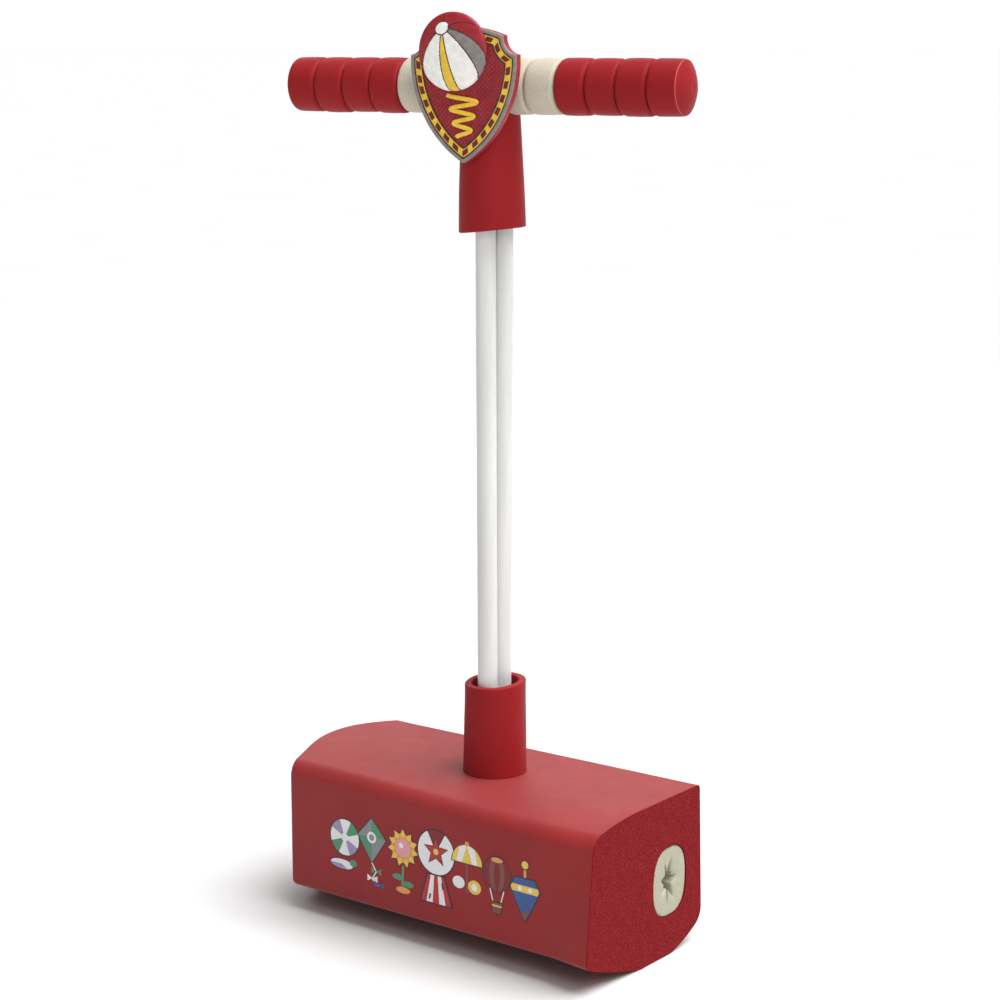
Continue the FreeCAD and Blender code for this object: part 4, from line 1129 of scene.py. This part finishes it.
def badge_ball():
    """The beach ball on the badge: an upright edge and a shallow dome, puffed up between the seams."""
    rings, segments = 64, 240
    base, height = 0.2 * MM, 5.6 * MM
    edge_top = base + 0.25 * height
    profile = [(0.0, base), (BALL_RADIUS, base), (BALL_RADIUS, edge_top)]
    for share in np.linspace(1.0, 0.0, rings):
        rise = height * (1 - share ** 2) ** 0.5
        profile.append((BALL_RADIUS * share * 0.999, edge_top + 0.75 * rise))
    verts, flat = [], []
    for i in range(segments):
        angle = 2 * math.pi * i / segments
        for k, (r, h) in enumerate(profile):
            x, z = r * math.cos(angle), r * math.sin(angle)
            lift = ball_relief(x, z) if k > 2 else 0.0
            verts.append(badge_point(BALL_CENTRE[0] + x, BALL_CENTRE[1] + z, h + lift))
            flat.append((x, z))
    faces = grid_faces(segments, len(profile), close_rows=True, close_cols=False)
    panels = [ball_panel(sum(flat[v][0] for v in f) / 4, sum(flat[v][1] for v in f) / 4) for f in faces]
    materials = [BADGE_CREAM, BADGE_RED, BADGE_YELLOW, BADGE_GREY, BADGE_DARK]
    ball = piece("badge_ball_relief", verts, faces, materials, "handle", "badge_cream",
                 sharp_deg=50.0, face_materials=panels)
    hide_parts("badge_ball")


FIELD_RELIEF = 0.45 * MM


def field_relief(x, z):
    """A basket weave of short bars that stand up from the red field."""
    pitch = 3.3 * MM
    u, v = (x + z) / pitch, (x - z) / pitch
    wave = math.sin(math.pi * u) if (math.floor(u) + math.floor(v)) % 2 else math.sin(math.pi * v)
    return FIELD_RELIEF * abs(wave)


def badge():
    thick = BADGE_FRONT_Y - BADGE_BACK_Y
    shield_solid("badge_back_plate", "badge_plate", [
        (0.6 * MM, thick), (0.0, thick + 0.7 * MM), (0.0, -0.5 * MM), (0.5 * MM, 0.0), (0.9 * MM, 0.02 * MM),
        (None, 0.0)], BADGE_RED, "badge_red")
    # name, node, insets of the outer and inner edge, height, rounding, material, slot
    bands = (("badge_edge", "badge_rim", 0.3, 2.7, 1.6, 0.7, BADGE_GREY, "badge_grey"),
             ("badge_outer_line", None, 2.6, 3.7, 0.7, 0.2, BADGE_DARK, "badge_dark"),
             ("badge_yellow_band", "badge_band", 3.6, 8.2, 1.0, 0.4, BADGE_YELLOW, "badge_yellow"),
             ("badge_inner_line", None, 8.1, 9.3, 0.7, 0.2, BADGE_DARK, "badge_dark"))
    for name, node, outer, inner, top, edge, material, slot in bands:
        stations = band_stations(outer * MM, inner * MM, -0.1 * MM, top * MM, edge * MM)
        shield_solid(name, node, stations, material, slot)
    shield_solid("badge_woven_field", "badge_field",
                 [(9.2 * MM, -0.1 * MM), (9.2 * MM, 0.25 * MM), (None, 0.25 * MM)],
                 BADGE_RED, "badge_red", relief=field_relief, deep=BADGE_DEEP)
    badge_dashes()
    badge_coil()
    badge_ball()


def badge_saddle():
    """Foam pad between the badge and the rings, hollowed at its back to sit on their round front."""
    half_x, low_z, high_z, corner, soft = 24.0 * MM, -9.6 * MM, 13.0 * MM, 5.0 * MM, 0.7 * MM
    middle_z = (low_z + high_z) / 2
    half_z = (high_z - low_z) / 2
    corners = []
    for turn, side, up in ((0.0, 1, 1), (90.0, -1, 1), (180.0, -1, -1), (270.0, 1, -1)):
        place = (side * (half_x - corner), up * (half_z - corner))
        corners += arc_points(place, corner, turn, turn + 90.0, 12)
    outline = []
    for a, b in zip(corners, corners[1:] + corners[:1]):
        outline += straight(a, b, max(1, round(math.dist(a, b) / (1.5 * MM))))
    count = len(outline)
    shrink = 1 - soft / half_z
    rows = [(share * shrink, 0.0) for share in np.linspace(0.06, 1.0, 10)]
    rows += [((shrink + 1) / 2, 0.12 * soft), (1.0, 0.6 * soft)]
    rows += [(share, None) for share in np.linspace(1.0, 0.06, 10)]
    verts = []

    def add(x, z, sink):
        """sink is the depth behind the front, or None for a point on the hollow back."""
        back = -math.sqrt(RING_RADIUS ** 2 - z ** 2) - 0.1 * MM
        verts.append(on_handle(BADGE_X + x, back if sink is None else BADGE_BACK_Y + 0.1 * MM + sink, z))

    for share, sink in rows:
        for x, z in outline:
            add(x * share, middle_z + z * share, sink)
    faces = grid_faces(len(rows), count)
    first, last = len(verts), len(verts) + 1
    add(0.0, middle_z, 0.0)
    add(0.0, middle_z, None)
    end = (len(rows) - 1) * count
    faces += fan(0, count, first)
    faces += fan(end, count, last)
    pad = piece("foam_badge_saddle", verts, faces, [CREAM], "handle", "cream_foam", sharp_deg=50.0)
    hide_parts("badge_saddle")


# ---------------------------------------------------------------- nodes kept from the CAD

def dress_cad_nodes():
    finishes = {
        "squeaker_bulb": CLEAR_PLASTIC, "squeaker_reed": DARK_PLASTIC, "base_anchor": DARK_PLASTIC,
        "base_anchor_pin": STEEL, "handle_hub": DARK_PLASTIC, "hub_pin": STEEL, "handle_tube": ALUMINIUM,
        "left_tube_plug": DARK_PLASTIC, "right_tube_plug": DARK_PLASTIC, "badge_screws": STEEL,
    }
    for node, material in finishes.items():
        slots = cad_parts[node].data.materials
        for i in range(len(slots)):
            slots[i] = material
        if not slots:
            slots.append(material)


# ---------------------------------------------------------------- prints on the base

DISC_POINTS = 40


def disc(cx, cz, rx, rz=None, start=0.0, end=360.0):
    """Outline of a disc, an ellipse, or a sector of one with its point at the centre."""
    rz = rz or rx
    whole = end - start >= 360
    angles = np.radians(np.linspace(start, end, DISC_POINTS, endpoint=not whole))
    rim = [(cx + rx * math.cos(a), cz + rz * math.sin(a)) for a in angles]
    return rim if whole else [(cx, cz)] + rim


def bar(x0, z0, x1, z1, width):
    """Outline of a straight stroke."""
    length = math.hypot(x1 - x0, z1 - z0)
    dx, dz = -(z1 - z0) / length * width / 2, (x1 - x0) / length * width / 2
    return [(x0 + dx, z0 + dz), (x1 + dx, z1 + dz), (x1 - dx, z1 - dz), (x0 - dx, z0 - dz)]


def beach_ball():
    shapes = [("black", disc(0, 6, 14.2)), ("white", disc(0, 6, 13.4))]
    shapes += [(ink, disc(0, 6, 13.4, None, a, a + 44)) for ink, a in
               (("green", 20), ("lavender", 110), ("green", 200), ("lavender", 290))]
    shapes += [("white", disc(0, 6, 3.2))]
    shapes += [("black", disc(-3, -14.5, 11.4, 4.4)), ("white", disc(-3, -14.5, 10.6, 3.6)),
               ("lavender", disc(-3, -14.5, 10.6, 3.6, 180, 300)), ("green", disc(8, -12, 3.4, 2.6))]
    return shapes


def kite():
    sail = [(0, 25), (14, 10), (0, -10), (-14, 10)]
    inner = [(x * 0.93, 8 + (z - 8) * 0.93) for x, z in sail]
    shapes = [("black", sail), ("grey", inner), ("green", [(0, 23.6), (13, 9.8), (0, 9.8)]),
              ("green", [(0, -8.4), (-13, 9.8), (0, 9.8)]), ("white", disc(0, 9.8, 4.2)),
              ("grey", disc(0, 9.8, 2.4))]
    shapes += [("white", bar(0, -9, 4, -15, 0.9)), ("white", bar(4, -15, 0, -21, 0.9)),
               ("white", bar(0, -21, 6, -25, 0.9))]
    for x, z, ink in ((4, -14.6, "green"), (0.4, -20.6, "white"), (6.5, -24.2, "blue")):
        shapes += [(ink, [(x, z), (x - 4.6, z + 2.4), (x - 4.6, z - 2.4)]),
                   (ink, [(x, z), (x + 4.6, z + 2.4), (x + 4.6, z - 2.4)])]
    return shapes


def sunflower():
    return [("green", bar(0, -4, -1, -22, 2.0)), ("green", disc(-5, -13, 5.0, 2.2)),
            ("green", disc(4.4, -17, 5.0, 2.2)),
            ("black", flat_star(0, 9, 15.0, 10.4, 11)), ("yellow", flat_star(0, 9, 14.0, 9.8, 11)),
            ("orange", flat_star(0, 9, 11.0, 7.6, 11, 0.28)), ("pink", disc(0, 9, 6.6)),
            ("white", disc(-1.6, 10.8, 2.0)),
            ("orange", disc(0, -22, 6.4, 2.4))]


def star_ball():
    shapes = [("black", disc(0, 9, 17.2)), ("white", disc(0, 9, 16.2)),
              ("black", disc(0, 9, 16.2, None, 60, 118)),
              ("wine", disc(0, 9, 16.2, None, 64, 114)), ("black", flat_star(0, 9.5, 11.6, 5.0, 5)),
              ("red", flat_star(0, 9.5, 10.4, 4.2, 5)), ("yellow", disc(0, 9.5, 2.2)),
              ("black", [(-8, -7), (8, -7), (15, -29), (-15, -29)]),
              ("red", [(-7, -8), (7, -8), (13.6, -28.2), (-13.6, -28.2)])]
    shapes += [("white", [(-4.6, -8), (-1.6, -8), (-3.0, -28.2), (-8.6, -28.2)]),
               ("white", [(1.6, -8), (4.6, -8), (8.6, -28.2), (3.0, -28.2)]),
               ("black", bar(-5, -22, -6, -26, 1.4)),
               ("black", bar(5.6, -12, 6.4, -17, 1.4))]
    return shapes


def parasol():
    dome = [(14 * math.cos(a), 4 + 14 * math.sin(a)) for a in np.linspace(0, math.pi, 30)]
    inner = [(13.2 * math.cos(a), 4.6 + 13.2 * math.sin(a)) for a in np.linspace(0, math.pi, 30)]
    shapes = [("brown", bar(0, 4, 0, -17, 1.8)), ("black", dome), ("yellow", inner)]
    shapes += [("white", [(0, 17.8), (-4.6, 4.8), (-9.2, 4.8), (-6.6, 15.6)]),
               ("white", [(0, 17.8), (4.6, 4.8), (9.2, 4.8), (6.6, 15.6)]), ("orange", disc(0, 18.6, 1.8)),
               ("white", disc(-7.4, -10.4, 5.2, 4.4)), ("yellow", disc(6.6, -11.4, 5.6, 5.0)),
               ("white", disc(6.6, -11.4, 2.6))]
    return shapes


def balloon():
    return [("black", disc(0, 8, 12.6, 13.4)), ("wine", disc(0, 8, 11.8, 12.6)),
            ("brown", disc(0, 8, 6.6, 12.6)),
            ("wine", disc(0, 8, 2.6, 12.6)), ("orange", disc(0, 18.2, 5.0, 1.8)),
            ("white", bar(-6, -3, -3.4, -12, 0.8)),
            ("white", bar(6, -3, 3.4, -12, 0.8)),
            ("black", [(-5, -11.4), (5, -11.4), (4, -20.6), (-4, -20.6)]),
            ("brown", [(-4.3, -12.2), (4.3, -12.2), (3.4, -19.9), (-3.4, -19.9)]),
            ("yellow", bar(-4.1, -14.6, 4.1, -14.6, 1.2))]


def spinning_top():
    return [("black", bar(0, 12, 0, 22.5, 3.4)), ("orange", bar(0, 12, 0, 21.9, 2.2)),
            ("black", disc(0, 21, 3.6)),
            ("yellow", disc(0, 21, 2.8)),
            ("black", [(-13, 4), (-9, 12), (9, 12), (13, 4), (9, -5), (0, -21), (-9, -5)]),
            ("blue", [(-12, 4), (-8.4, 11.2), (8.4, 11.2), (12, 4), (8.4, -4.4), (0, -19.4), (-8.4, -4.4)]),
            ("yellow", [(-12, 4), (-11.0, 6.2), (11.0, 6.2), (12, 4), (10.8, 1.2), (-10.8, 1.2)]),
            ("white", disc(-4.4, 3.7, 1.7)), ("white", disc(4.4, 3.7, 1.7)),
            ("brown", [(-3.6, -13), (3.6, -13), (0, -19.4)])]


def prints():
    """Seven transfer prints along the printed side, each a stack of thin closed ink layers."""
    back, layer_step = 0.05, 0.022
    places = ((-81.5, 60.0, beach_ball), (-56.0, 61.5, kite), (-27.0, 60.5, sunflower),
              (3.0, 64.0, star_ball), (30.6, 66.5, parasol), (56.7, 61.0, balloon),
              (80.7, 60.0, spinning_top))
    face_y = BLOCK_LOW.y
    for number, (cx, cz, draw) in enumerate(places, 1):
        verts, faces, kinds, inks = [], [], [], []
        for layer, (ink, outline) in enumerate(draw()):
            if ink not in inks:
                inks.append(ink)
            solid, sides = prism(outline, -back, back + layer_step * layer)
            first = len(verts)
            verts += [((cx + x) * MM, face_y - h * MM, (cz + z) * MM) for x, z, h in solid]
            faces += [tuple(first + v for v in f) for f in sides]
            kinds += [inks.index(ink)] * len(sides)
        piece("print_" + str(number), verts, faces, [INKS[i] for i in inks], "base", None,
              sharp_deg=30.0, face_materials=kinds)


# ---------------------------------------------------------------- studio

def studio():
    floor_n = Nodes("studio_floor")
    faint = floor_n.ramp(floor_n.noise(3.0, 2.0), (0.3, 0.60), (0.7, 0.62))
    floor_n.link(faint, floor_n.shader.inputs["Base Color"])
    floor_n.set(Roughness=0.8, Specular_IOR_Level=0.1)
    work = bmesh.new()
    bmesh.ops.create_grid(work, x_segments=2, y_segments=2, size=400.0)
    mesh = bpy.data.meshes.new("floor")
    work.to_mesh(mesh)
    work.free()
    mesh.materials.append(floor_n.material)
    floor = bpy.data.objects.new("floor", mesh)
    bpy.context.scene.collection.objects.link(floor)

    # a white horizon that falls to a soft grey overhead
    world = bpy.data.worlds.new("studio")
    world.use_nodes = True
    tree = world.node_tree
    direction = tree.nodes.new("ShaderNodeTexCoord").outputs["Generated"]
    split = tree.nodes.new("ShaderNodeSeparateXYZ")
    tree.links.new(direction, split.inputs[0])
    height = tree.nodes.new("ShaderNodeValToRGB")
    height.color_ramp.elements[0].position = 0.03
    height.color_ramp.elements[0].color = (1.05, 1.05, 1.05, 1.0)
    height.color_ramp.elements[1].position = 0.09
    height.color_ramp.elements[1].color = (0.30, 0.30, 0.30, 1.0)
    tree.links.new(split.outputs["Z"], height.inputs["Fac"])
    tree.links.new(height.outputs["Color"], tree.nodes["Background"].inputs["Color"])
    bpy.context.scene.world = world

    def lamp(kind, name, place, target, energy):
        data = bpy.data.lights.new(name, kind)
        data.energy = energy
        made = bpy.data.objects.new(name, data)
        made.location = place
        aim = Vector(target) - Vector(place)
        made.rotation_euler = aim.to_track_quat("-Z", "Y").to_euler()
        bpy.context.scene.collection.objects.link(made)
        return data

    overhead = lamp("SUN", "overhead_softlight", (0.85, 0.35, 2.0), (0, 0, 0), 4.8)
    overhead.angle = math.radians(50.0)
    front = lamp("AREA", "handle_softbox", (1.25, -0.95, 1.25), (0, 0, 0.6), 8.0)
    front.size = 0.7
    rear = lamp("AREA", "rear_softbox", (-1.3, 1.7, 1.5), (0, 0, 0.15), 22.0)
    rear.shape = "RECTANGLE"
    rear.size = 3.0
    rear.size_y = 1.8


base_block()
end_plug()
cover_pad()
lower_sleeve()
upper_sleeve()
cord_parts()
grip()
badge()
badge_saddle()
prints()
dress_cad_nodes()
studio()

bpy.context.scene.view_settings.view_transform = "Standard"
